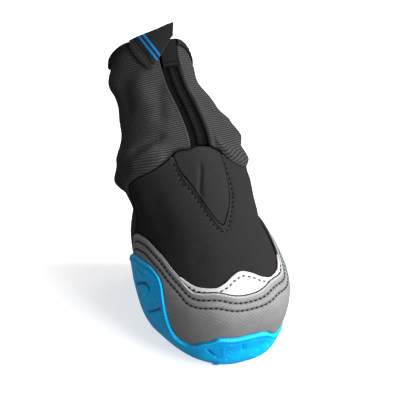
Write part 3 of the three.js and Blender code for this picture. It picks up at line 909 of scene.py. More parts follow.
class Graph:
    """Node graph of one material, with a Principled shader at its end."""

    def __init__(self, name: str, constants: dict[str, Any]) -> None:
        """Makes the material and sets what is the same all over on the shader's own sockets."""
        self.material = bpy.data.materials.new(name)
        self.material.use_nodes = True
        self.tree = self.material.node_tree
        self.shader = self.tree.nodes["Principled BSDF"]
        for socket, value in constants.items():
            self.shader.inputs[socket].default_value = value

    def node(self, kind: str, settings: dict[str, Any], inputs: Any = (), out: Any = 0) -> Sock:
        """Adds a node.

        Args:
            kind: Blender's node type.
            settings: its properties, set first.
            inputs: values or sockets, a list by order or a dict by name.
            out: the output wanted, by index or name.

        Returns:
            The output.
        """
        made = self.tree.nodes.new(kind)
        for key, value in settings.items():
            setattr(made, key, value)
        pairs = inputs.items() if isinstance(inputs, dict) else enumerate(inputs)
        for key, value in pairs:
            if isinstance(value, Sock):
                self.tree.links.new(value.socket, made.inputs[key])
            else:
                made.inputs[key].default_value = value
        return Sock(self, made.outputs[out])

    def feed(self, socket: str, value: Sock) -> None:
        """Links a value to the shader's socket."""
        self.tree.links.new(value.socket, self.shader.inputs[socket])

    def mark(self, name: str) -> Sock:
        """A number kept on the mesh's points."""
        return self.node("ShaderNodeAttribute", {"attribute_name": name}, out="Fac")

    def cloth(self) -> tuple[Sock, Sock]:
        """The cloth's own lengths in mm, round and up."""
        pair = self.node("ShaderNodeUVMap", {"uv_map": "cloth"})
        around = self.node("ShaderNodeSeparateXYZ", {}, [pair])
        return around, Sock(self, around.socket.node.outputs[1])

    def threads(self, pitch: float) -> Sock:
        """Slanted check of threads from 0 to 1: sine waves round and up, multiplied."""
        u, v = self.cloth()
        k = 2 * math.pi / pitch
        return ((u * k).sine() * (v * k).sine()) * 0.5 + 0.5

    def spot(self) -> Sock:
        """Place on the piece in mm, from Object coordinates."""
        place = self.node("ShaderNodeTexCoord", {}, out="Object")
        return self.node("ShaderNodeVectorMath", {"operation": "SCALE"}, {0: place, "Scale": 1000.0})

    def noise(self, place: Sock, scale: float, detail: float = 2.0, rough: float = 0.5) -> Sock:
        """Soft random value about a half; scale is per mm."""
        inputs = {"Vector": place, "Scale": scale, "Detail": detail, "Roughness": rough}
        return self.node("ShaderNodeTexNoise", {}, inputs, "Fac")

    def cells(self, place: Sock, scale: float) -> Sock:
        """Distance to the nearest of scattered points; scale is per mm."""
        return self.node("ShaderNodeTexVoronoi", {}, {"Vector": place, "Scale": scale}, "Distance")

    def blend(self, share: Any, a: Any, b: Any) -> Sock:
        """Colour between a and b by share."""
        made = self.tree.nodes.new("ShaderNodeMix")
        made.data_type = "RGBA"
        for index, value in ((0, share), (6, a), (7, b)):
            if isinstance(value, Sock):
                self.tree.links.new(value.socket, made.inputs[index])
            elif index:
                made.inputs[index].default_value = (*value, 1.0)
            else:
                made.inputs[index].default_value = value
        return Sock(self, made.outputs[2])

    def tint(self, colour: Any, mark: str, share: float, tone: Colour) -> Sock:
        """Colour turned towards a tone where the mesh carries a mark, by share at most."""
        return self.blend(self.mark(mark) * share, colour, tone)

    def relief(self, height: Sock, depth: float, strength: float) -> None:
        """Bump from a height of 0 to 1 that stands for depth in mm."""
        inputs = {"Height": height, "Distance": depth * MM, "Strength": strength}
        self.feed("Normal", self.node("ShaderNodeBump", {}, inputs, "Normal"))


def toned(colour: Colour, by: float) -> Colour:
    """A colour times a number."""
    return tuple(by * c for c in colour)


# What a brushed cloth's shader sets all over
BRUSHED = {"Sheen Roughness": 0.4, "Sheen Tint": (0.8, 0.8, 0.8, 1.0)}


@dataclass(frozen=True)
class Finish:
    """A finish of one cloth or rubber: a base colour, a second one and a roughness."""

    name: str
    base: Colour
    second: Colour
    rough: float

    def make(self) -> bpy.types.Material:
        """Builds the material."""
        raise NotImplementedError

    def graph(self, **constants: Any) -> Graph:
        """Starts the graph with the roughness and the base colour set."""
        start = {"Roughness": self.rough, "Base Color": (*self.base, 1.0), **constants}
        return Graph(self.title, start)

    @property
    def title(self) -> str:
        """The material's name, unlike those of the frame's slots."""
        return f"finish_{self.name}"


@dataclass(frozen=True)
class Rubber(Finish):
    """Moulded rubber: satin, clouded a little, with fine pale specks; its grooves carry painted
    shade and its edges a painted highlight.
    """

    specks: Colour = (0.55, 0.85, 0.95)
    # painted highlight: the bright cyan that the bead and the edges are turned to
    painted_highlight: Colour = (0.03, 0.6, 1.0)

    def make(self) -> bpy.types.Material:
        """Clouds between two blues; specks where scattered cells are near their points."""
        g = self.graph(**{"Specular IOR Level": 0.2})
        spot = g.spot()
        cloud = g.noise(spot, 0.12, 3.0)
        colour = g.blend(cloud.step(0.3, 0.75), self.base, self.second)
        # painted shade: grooves, notches and creases darkened to a third of the base blue
        deep = g.mark("groove")
        colour = g.blend(deep.step(0.05, 0.9), colour, toned(self.base, 0.35))
        # painted highlight: the bead and the edges turned half way to the bright cyan
        rim = g.mark("rim")
        colour = g.blend(rim * 0.5, colour, self.painted_highlight)
        speck = 1.0 - g.cells(spot, 0.55).step(0.08, 0.2)
        rare = g.noise(spot, 0.45, 1.0).step(0.5, 0.58)
        colour = g.blend(speck * rare * 0.75, colour, self.specks)
        g.feed("Base Color", colour)
        grain = g.noise(spot, 2.2, 3.0, 0.6)
        g.feed("Roughness", self.rough + (grain - 0.5) * 0.18 - rim * 0.08)
        g.relief(grain * 0.7 + g.noise(spot, 0.35, 2.0) * 0.5, 0.12, 0.5)
        return g.material


@dataclass(frozen=True)
class Softshell(Finish):
    """Brushed stretch cloth: matt, with a very fine grain and faint mottling; painted shade where it
    is marked groove and a painted highlight where it is marked rim.
    """

    def make(self) -> bpy.types.Material:
        """Fine threads across each other plus noise; colour clouds between two greys."""
        g = self.graph(**BRUSHED, **{"Sheen Weight": 0.01, "Specular IOR Level": 0.05})
        spot = g.spot()
        grain = g.noise(spot, 3.2, 3.0, 0.7)
        fluff = g.noise(spot, 0.9, 3.0, 0.6)
        colour = g.blend(grain.step(0.3, 0.7) * 0.6 + fluff * 0.4, self.base, self.second)
        # painted shade: darker where the mesh is marked groove
        colour = g.tint(colour, "groove", 1.0, toned(self.base, 0.3))
        # painted highlight: paler where the mesh is marked rim
        g.feed("Base Color", g.tint(colour, "rim", 0.8, toned(self.second, 3.2)))
        g.relief(grain + fluff * 0.5, 0.18, 0.6)
        return g.material


@dataclass(frozen=True)
class RandCloth(Finish):
    """Coated grey cloth with a fine diamond weave; painted shade in its stitch dents and a painted
    highlight along its top edge.
    """

    pitch: float = 1.9

    def make(self) -> bpy.types.Material:
        """Waves along and across multiplied give a slanted check; a soft mottling over it."""
        g = self.graph(**{"Specular IOR Level": 0.4})
        weave = g.threads(self.pitch)
        spot = g.spot()
        cloud = g.noise(spot, 0.18, 3.0)
        fleck = g.noise(spot, 2.6, 2.0)
        colour = g.blend(weave * 0.4 + cloud * 0.6, self.base, self.second)
        # painted shade where the mesh is marked groove
        colour = g.tint(colour, "groove", 0.85, toned(self.base, 0.22))
        # painted highlight where the mesh is marked rim
        g.feed("Base Color", g.tint(colour, "rim", 0.7, toned(self.second, 1.9)))
        g.feed("Roughness", self.rough - weave * 0.12 + (fleck - 0.5) * 0.15)
        g.relief(weave + fleck * 0.35, 0.14, 0.5)
        return g.material


@dataclass(frozen=True)
class Film(Finish):
    """Pale reflective film on cloth: smooth, bright, with a glass-bead grain; its stitch dents get
    painted shade.
    """

    # painted shade: the dark grey that the stitch dents are turned to
    seam: Colour = (0.18, 0.18, 0.19)

    def make(self) -> bpy.types.Material:
        """Fine grain in colour and relief."""
        g = self.graph(**{"Specular IOR Level": 0.6})
        spot = g.spot()
        bead = g.noise(spot, 4.5, 2.0, 0.7)
        cloud = g.noise(spot, 0.25, 3.0)
        colour = g.blend(bead * 0.5 + cloud * 0.5, self.base, self.second)
        # painted shade in the stitch dents
        g.feed("Base Color", g.tint(colour, "groove", 0.8, self.seam))
        g.feed("Roughness", self.rough + (bead - 0.5) * 0.2)
        g.relief(bead, 0.06, 0.5)
        return g.material


@dataclass(frozen=True)
class Knit(Finish):
    """Ribbed knit with stitches across each rib; its ribs carry painted light: a painted highlight
    on the crests and painted shade in the valleys.
    """

    stitch: float = 0.75
    rib: float = 1.0

    def make(self) -> bpy.types.Material:
        """Ribs follow the mesh's mark of length along the shaft; waves round it are stitches."""
        g = self.graph(**BRUSHED, **{"Sheen Weight": 0.02, "Specular IOR Level": 0.06})
        wobble = g.noise(g.spot(), 0.5, 2.0)
        loops = (g.cloth()[0] + wobble * 0.3).wave(self.stitch)
        along = g.mark("run") + (wobble - 0.5) * 0.5
        plain = g.mark("plain")
        # crest is the ribs' height for the bump, and also their painted highlight and shade
        crest = along.wave(self.rib) * (1.0 - plain) + plain * 0.7
        fluff = g.noise(g.spot(), 2.4, 3.0, 0.7)
        # the ribs' painted highlight and shade make most of the colour's range
        tone = crest * 0.62 + loops * 0.1 + fluff * 0.25
        colour = g.blend(tone, self.base, self.second)
        # painted shade where the mesh is marked groove
        g.feed("Base Color", g.tint(colour, "groove", 0.8, toned(self.base, 0.3)))
        g.relief(crest + loops * 0.2 + fluff * 0.4, 0.3, 0.8)
        return g.material


@dataclass(frozen=True)
class Weave(Finish):
    """Plain woven tape or patch cloth, with threads of a given pitch; painted shade where it is
    marked groove and a painted highlight where it is marked rim.
    """

    pitch: float = 0.7
    speck: float = 0.0
    speck_tone: Colour = (0.16, 0.16, 0.165)
    stripe_tone: Colour = (0.005, 0.13, 0.36)

    def make(self) -> bpy.types.Material:
        """Warp and weft waves multiplied; scattered pale specks if there are any."""
        g = self.graph(**{"Specular IOR Level": 0.03})
        threads = g.threads(self.pitch)
        spot = g.spot()
        fluff = g.noise(spot, 2.2, 3.0, 0.65)
        colour = g.blend(threads * 0.5 + fluff * 0.5, self.base, self.second)
        if self.speck:
            dots = g.noise(spot, 3.0, 1.0).step(0.6, 0.72)
            colour = g.blend(dots * self.speck, colour, self.speck_tone)
        colour = g.tint(colour, "stripe", 1.0, self.stripe_tone)
        # painted shade where the mesh is marked groove
        colour = g.tint(colour, "groove", 0.8, toned(self.base, 0.3))
        # painted highlight where the mesh is marked rim
        g.feed("Base Color", g.tint(colour, "rim", 0.7, toned(self.second, 2.6)))
        g.relief(threads + fluff * 0.6, 0.12, 0.6)
        return g.material


@dataclass(frozen=True)
class Thread(Finish):
    """Sewing thread or nylon: smooth with a fine twist."""

    def make(self) -> bpy.types.Material:
        """A fine noise for the twist."""
        g = self.graph(**{"Specular IOR Level": 0.15})
        twist = g.noise(g.spot(), 3.5, 2.0)
        g.feed("Base Color", g.blend(twist, self.base, self.second))
        g.relief(twist, 0.08, 0.6)
        return g.material


class Finishes(Enum):
    """The boot's finishes."""

    RUBBER = Rubber("blue_rubber", (0.0, 0.41, 0.94), (0.0, 0.54, 1.0), 0.5)
    FOAM = Weave("insole_cloth", (0.02, 0.02, 0.022), (0.045, 0.045, 0.048), 0.95, 1.2)
    SOFTSHELL = Softshell("softshell", (0.012, 0.012, 0.0122), (0.026, 0.026, 0.0262), 0.9)
    GUSSET = Softshell("gusset_softshell", (0.013, 0.013, 0.0132), (0.028, 0.028, 0.0283), 0.9)
    RAND = RandCloth("rand_cloth", (0.14, 0.14, 0.141), (0.25, 0.25, 0.252), 0.75)
    PIPING = Weave("rand_piping", (0.18, 0.18, 0.181), (0.3, 0.3, 0.302), 0.7, 0.6)
    FILM = Film("silver_film", (0.46, 0.465, 0.47), (0.56, 0.565, 0.57), 0.55)
    KNIT = Knit("ribbed_knit", (0.006, 0.006, 0.0062), (0.072, 0.072, 0.073), 0.9)
    TAPE = Weave("zip_tape", (0.002, 0.002, 0.002), (0.005, 0.005, 0.005), 0.9, 0.8, 0.07)
    COIL = Thread("zip_coil", (0.003, 0.003, 0.003), (0.007, 0.007, 0.007), 0.6)
    PATCH = Weave("garage_patch", (0.006, 0.006, 0.0062), (0.012, 0.012, 0.0123), 0.85, 0.6)
    BINDING = Weave("collar_binding", (0.011, 0.011, 0.0113), (0.022, 0.022, 0.0224), 0.85, 0.6)
    TAB = Weave("tab_cloth", (0.010, 0.010, 0.0105), (0.018, 0.018, 0.019), 0.75, 0.45)
    DARK_THREAD = Thread("dark_thread", (0.003, 0.003, 0.0032), (0.009, 0.009, 0.0095), 0.6)

    @property
    def material(self) -> bpy.types.Material:
        """The material, built on first use."""
        return bpy.data.materials.get(self.value.title) or self.value.make()


def dress(piece: bpy.types.Object, finish: Finishes, slot: str,
          nodes: Sequence[str] = ()) -> bpy.types.Object:
    """Gives a piece its finish and its body, and hides the CAD nodes that it stands for.

    Args:
        piece: the object.
        finish: the finish.
        slot: the record's material slot; not used.
        nodes: CAD nodes that it replaces.

    Returns:
        The same object.
    """
    piece.data.materials.clear()
    piece.data.materials.append(finish.material)
    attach(piece, "root")
    if nodes:
        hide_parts(*nodes)
    LOG.info("%s: %d faces", piece.name, len(piece.data.polygons))
    return piece


# Sole


@dataclass
class Sole:
    """Rubber cup sole with side wings, toe bumper and a lugged tread, and the insole in it."""

    width: float = 66.5
    heel_width: float = 45.0
    wall: float = 2.8
    # mm that the toe springs up; where it starts and over how much, as shares of the length
    toe_spring: float = 2.2
    spring_start: float = 0.45
    spring_reach: float = 0.27
    # mm that the arch rises; its middle, where the ribs start, and its reach, as such shares
    arch_lift: float = 1.4
    arch_middle: float = 0.24
    arch_reach: float = 0.1
    lug_depth: float = 2.2
    lug_pitch: float = 14.0
    groove_width: float = 2.4
    rib_pitch: float = 4.0
    rib_depth: float = 0.9
    insole: float = 2.2
    insole_inset: float = 1.6
    # the insole's rim under its top: share of its outline, and mm up
    insole_rim: tuple = ((1.0, 0.0), (1.0, 1.4), (0.988, 1.9))
    # share of the way to the heel where the plan starts to turn square, and over how much
    heel_start: float = 0.42
    heel_reach: float = 0.48
    # powers of the sine that shape the plan, ahead and behind
    round_power: float = 0.78
    square_power: float = 0.25
    # share of the way where the side turns to the heel's, and over how much
    flank_turn: tuple[float, float] = (0.7, 0.2)
    # how far the side rounds in, as shares of the width, and how high, of the wing's height
    round_in: tuple[float, float] = (0.26, 0.07)
    round_up: tuple[float, float] = (0.5, 0.18)
    # shares that the wall is thinner by
    side_thin: float = 0.35
    wing_thin: Hill = Hill(0.22, 70, 34)
    # mm: the bead along the edge, and where it and the hollow under it lie below the edge
    bead: float = 0.42
    bead_place: tuple[float, float] = (0.9, 1.25)
    hollow_place: tuple[float, float] = (2.6, 0.9)
    # mm: how deep and how high the lugs' notches run up the side, and over how much they end
    notch: float = 1.1
    notch_low: float = 3.5
    notch_rise: float = 3.5
    notch_end: float = 4.0
    edge_radius: float = 0.8
    # degrees from the toe, and over how many: the side turns to wing, the notches grow taller
    wing_start: tuple[float, float] = (44, 12)
    tall_start: tuple[float, float] = (40, 15)
    thin_start: tuple[float, float] = (45, 30)
    diagonal_rows: tuple[float, float] = (-1.75, 0.25)
    flank: float = 0.22
    per_side: int = 240
    rows: int = 66
    across: int = 132
    wing_folds: tuple = (
        Fold(((92, 29), (85, 33.5), (79, 36.3), (75, 36), (73.5, 34)), 0.75, -1.1, 0.1),
        Fold(((79, 19), (77.5, 21), (68, 27.5), (62.5, 31.5)), 0.7, -0.9, 0.12),
        Fold(((95, 37), (86, 38.5), (77, 39.5)), 0.8, -0.5, 0.3),
    )
    toe_folds: tuple = (
        Fold(((-26, 18.4), (-22, 15.2), (-18, 13.2), (-12, 12.6)), 0.75, -1.2, 0.12),
        Fold(((-14.5, 21), (-14, 17), (-13.5, 13.5)), 0.7, 0.5, 0.25),
        Fold(((-2.4, 21.5), (-2.0, 19), (-1.5, 16)), 0.65, -1.1, 0.15),
        Fold(((5.2, 15.5), (4.4, 12.8), (3.8, 9.8)), 0.7, -1.2, 0.15),
        Fold(((-2.4, 11.2), (-3.6, 9.2), (-4.2, 7.6)), 0.7, -1.2, 0.15),
        Fold(((-30, 12), (-18, 9.6), (-6, 8.6), (8, 8.8)), 0.55, -0.6, 0.15),
        Fold(((12, 16), (14, 13), (15, 10)), 0.7, -1.0, 0.15),
    )

    def tread_height(self, y: Array) -> Array:
        """Underside of the lugs: a toe spring in front and a low arch before the heel."""
        length = LAST.sole_length
        front = -length / 2 * self.spring_start
        toe = self.toe_spring * smooth((front - y) / (length * self.spring_reach))
        return toe + self.arch_lift * bump(y, length * self.arch_middle, length * self.arch_reach)

    def plan(self, angle: Array, inset: Array | float) -> Array:
        """Outline in plan: a round forefoot that turns into a narrow square heel.

        Args:
            angle: degrees from the toe.
            inset: mm inwards, square to the outline.

        Returns:
            Pairs x, y in mm.
        """
        def outline(at: Array) -> Array:
            """Half width times the sine to a power that falls towards the heel."""
            turn = np.radians(at)
            s = (1 - np.cos(turn)) / 2
            b = ramp(s, self.heel_start, self.heel_reach)
            half = (self.width * (1 - b) + self.heel_width * b) / 2
            sine = np.sin(turn)
            power = self.round_power * (1 - b) + self.square_power * b
            x = np.sign(sine) * half * np.abs(sine) ** power
            return np.stack([x, LAST.sole_length * (s - 0.5)], -1)

        along = unit(outline(angle + 0.4) - outline(angle - 0.4))
        square = np.stack([-along[..., 1], along[..., 0]], -1)
        return outline(angle) + square * np.asarray(inset, float)[..., None]

    def inset(self, angle: Array, rise: Array) -> Array:
        """How far the rounded side stands in at a height over the lugs: a cube of what is left."""
        s = (1 - np.cos(np.radians(angle))) / 2
        heel = ramp(s, *self.flank_turn)
        (deep_ahead, deep_behind), (tall_ahead, tall_behind) = self.round_in, self.round_up
        deep = deep_ahead * self.width * (1 - heel) + deep_behind * self.heel_width * heel
        tall = tall_ahead * WING_HEIGHT * (1 - heel) + tall_behind * WING_HEIGHT * heel
        return deep * (1 - np.minimum(rise / tall, 1)) ** 3

    def cup_wall(self, angle: Array) -> Array:
        """Thickness of the cup's wall, thinner behind the wings."""
        thin = self.side_thin * ramp(np.abs(angle), *self.thin_start) + self.wing_thin.at(angle)
        return self.wall * (1 - thin)

    def groove(self, x: Array, y: Array) -> Array:
        """Depth cut into the tread at a place: square blocks and diagonals ahead, ribs behind.

        Args:
            x: mm across.
            y: mm along.

        Returns:
            Depth in mm.
        """
        pitch, width = self.lug_pitch, self.groove_width
        soft = self.flank * 1.5 / pitch
        rows = pulse(y / pitch - 0.25, width / pitch, soft)
        lines = pulse(np.abs(x) / pitch - 0.5, width / pitch, soft)
        lines = lines * (np.abs(x) < 2 * pitch)
        depth = self.lug_depth * np.maximum(rows, lines)
        out = np.abs(x) - 0.5 * pitch
        for row in self.diagonal_rows:
            off = np.abs(np.abs(y - row * pitch) - out) / math.sqrt(2)
            bar = 1 - smooth((off - width / 4) / self.flank + 0.5)
            inside = (out > 0) & (out < 2 * pitch)
            depth = np.maximum(depth, self.lug_depth / 2 * bar * inside)
        end = LAST.sole_length * self.arch_middle
        ahead = smooth((end - y) / 0.6 + 0.5)
        ribs = self.rib_depth * pulse((y - end) / self.rib_pitch, 1 / 3, 0.12)
        last = smooth((LAST.sole_length / 2 - self.rib_pitch * 0.75 - y) / 0.6)
        return depth * ahead + ribs * (1 - ahead) * last

    def side(self, angle: Array, share: Array) -> Array:
        """Outer side from the lugs to the cup's edge.

        The plan's rounded side turns into the last's skin plus the rubber's thickness.

        Args:
            angle: columns in degrees.
            share: 0 at the lugs to 1 at the edge, by row.

        Returns:
            Points in mm.
        """
        edge = LAST.skin(angle, LAST.level_at(angle, sole_edge(angle)), self.cup_wall(angle))
        foot = self.plan(angle, self.inset(angle, np.zeros_like(angle)))
        base = self.tread_height(foot[:, 1])
        cut = self.groove(foot[:, 0], foot[:, 1])
        start = base + cut
        z = start[None] + (edge[:, 2] - start)[None] * share[:, None]
        grid = np.broadcast_to(angle, z.shape)
        flank = self.plan(grid, self.inset(grid, z - base[None]))
        skin = LAST.skin(grid, LAST.level_at(grid, z), self.cup_wall(grid))
        turn = smooth((z - base[None]) / np.minimum(WING_HEIGHT * 0.36, edge[:, 2] - base)[None])
        xy = flank + (skin[..., :2] - flank) * turn[..., None]
        return np.concatenate([xy, z[..., None]], -1)

    def relief(self, points: Array, angle: Array) -> tuple[Array, Array, Array]:
        """Bead along the edge, lug notches up the side and the drawn grooves.

        Args:
            points: the smooth side.
            angle: columns.

        Returns:
            Lift in mm, a mark of painted shade for the grooves, notches and the hollow under the
            bead, and a mark of painted highlight for the bead and the edge.
        """
        run = arc(points, 0)
        left = run[-1][None] - run
        wing = 0.3 + 0.7 * ramp(np.abs(angle), *self.wing_start)[None]
        bead = bump(left, *self.bead_place) * wing
        under = bump(left, *self.hollow_place) * wing
        lift = self.bead * bead - self.bead * under - rounded(left, self.edge_radius)
        rise = points[..., 2] - self.tread_height(points[..., 1])
        cut = self.groove(points[0, :, 0], points[0, :, 1])[None] / self.lug_depth
        tall = self.notch_low + self.notch_rise * ramp(np.abs(angle), *self.tall_start)[None]
        notch = cut * (1 - ramp(rise, tall, self.notch_end))
        mirror = [replace(f, places=tuple((-a, h) for a, h in f.places))
                  for f in self.wing_folds]
        folds = (*self.wing_folds[1:], *mirror, *self.toe_folds)
        drawn = fold_lift(points, folds, self.wall * 0.7)
        lift = lift - self.notch * notch + drawn
        # painted shade: how dark the troughs, the notches and the hollow under the bead are painted
        groove = np.clip(-drawn / 0.9 + 0.75 * notch + 0.45 * under, 0, 1)
        # painted highlight: the bead, and a band along the rounded edge
        return lift, groove, np.maximum(bead, 0.85 * bump(left, 0.7, 1.0))

    def cap(self, soup: Soup, ring: Array, points: Callable[[Array, Array], Array], across: int,
            turn: bool, **marks: Callable[[Array, Array], Array]) -> None:
        """Closes a ring across its middle with a grid whose rows join its two sides.

        Args:
            soup: the piece.
            ring: indices round the ring, toe's index first.
            points: gives grid points from the left and right ends and the share between.
            across: stretches of a row.
            turn: faces it downwards.
            marks: functions of the points' x and y that give marks.
        """
        count = len(ring)
        half = count // 2
        right, left = ring[1:half], ring[:half:-1]
        share = np.linspace(0, 1, across + 1)[1:-1]
        inner = points(np.arange(1, half), share)
        extra = {name: rule(inner[..., 0], inner[..., 1]) for name, rule in marks.items()}
        ids = soup.add_points(inner, **extra)
        grid = np.concatenate([left[:, None], ids, right[:, None]], axis=1)
        if turn:
            grid = grid[:, ::-1]
        soup.add_quads(grid)
        first, last = grid[0], grid[-1]
        soup.add_tris(np.stack([np.full(across, ring[0]), first[1:], first[:-1]], -1))
        soup.add_tris(np.stack([np.full(across, ring[half]), last[:-1], last[1:]], -1))

    @staticmethod
    def straight(ring: Array) -> Callable[[Array, Array], Array]:
        """Rule for cap: points straight across between a ring's two sides.

        Args:
            ring: points round the ring, the toe's first.

        Returns:
            The rule.
        """
        def rule(rows: Array, share: Array) -> Array:
            """The left point moved towards the right one by the share."""
            a, b = ring[-rows], ring[rows]
            return a[:, None] + (b - a)[:, None] * share[None, :, None]

        return rule

    def outsole(self) -> bpy.types.Object:
        """The rubber cup: side, rounded rim, inner wall, floor and tread in one closed mesh."""
        angle = full_turn(2 * self.per_side)
        share = eased(self.rows, 0.75)
        plain = self.side(angle, share)
        lift, groove, bead = self.relief(plain, angle)
        around = np.roll(plain, -1, axis=1) - np.roll(plain, 1, axis=1)
        out = unit(np.cross(around, np.gradient(plain, axis=0)))
        low = smooth(share / 0.02)[:, None]
        side = plain + out * (lift * low)[..., None]
        soup = Soup()
        # groove carries the painted shade, rim the painted highlight
        outer = soup.add_points(side, groove=groove, rim=bead)
        soup.add_quads(outer, looped=True)
        wall_share = np.linspace(1, 0, 9)[:, None]
        level = LAST.level_at(angle, sole_edge(angle))[None] * wall_share
        inner = LAST.skin(np.broadcast_to(angle, level.shape), level, OVERLAY_FIT)
        inner[-1, :, 2] = LAST.point(angle, np.zeros_like(angle))[:, 2] - FIT
        # painted highlight along the top of the cup's inner wall
        ids = soup.add_points(inner, rim=np.broadcast_to(wall_share > 0.9, level.shape) * 0.6)
        soup.add_quads(np.concatenate([outer[-1:], ids]), looped=True)

        def tread(rows: Array, share_across: Array) -> Array:
            """Straight across under the lugs, cut by the grooves."""
            flat = self.straight(side[0])(rows, share_across)
            flat[..., 2] = self.tread_height(flat[..., 1]) + self.groove(flat[..., 0], flat[..., 1])
            return flat

        self.cap(soup, ids[-1], self.straight(inner[-1]), 10, False)
        # the tread's grooves get painted shade
        self.cap(soup, outer[0], tread, self.across, True,
                 groove=lambda x, y: self.groove(x, y) / self.lug_depth * 0.8)
        return soup.build("outsole_rubber", 50)

    def footbed(self) -> bpy.types.Object:
        """The thin board on the cup's floor: a flat plate with a rounded rim."""
        angle = full_turn(160)
        zero = np.zeros_like(angle)
        edge = LAST.skin(angle, zero, -(self.insole_inset + 3 * FIT))
        height = LAST.point(angle, zero)[:, 2]
        middle = edge.mean(axis=0)
        rows = []
        for size, lift in (*self.insole_rim, (0.96, self.insole)):
            ring = middle + (edge - middle) * size
            ring[:, 2] = height + FIT + lift
            rows.append(ring)
        soup = Soup()
        ids = soup.add_points(np.stack(rows))
        soup.add_quads(ids, looped=True)
        for row, turn in ((-1, False), (0, True)):
            self.cap(soup, ids[row], self.straight(rows[row]), 14, turn)
        return soup.build("insole_board", 50)

    def build(self) -> None:
        """Makes and dresses the outsole and the insole."""
        dress(self.outsole(), Finishes.RUBBER, "blue_rubber", ["outsole"])
        dress(self.footbed(), Finishes.FOAM, "foam", ["insole"])


# Upper


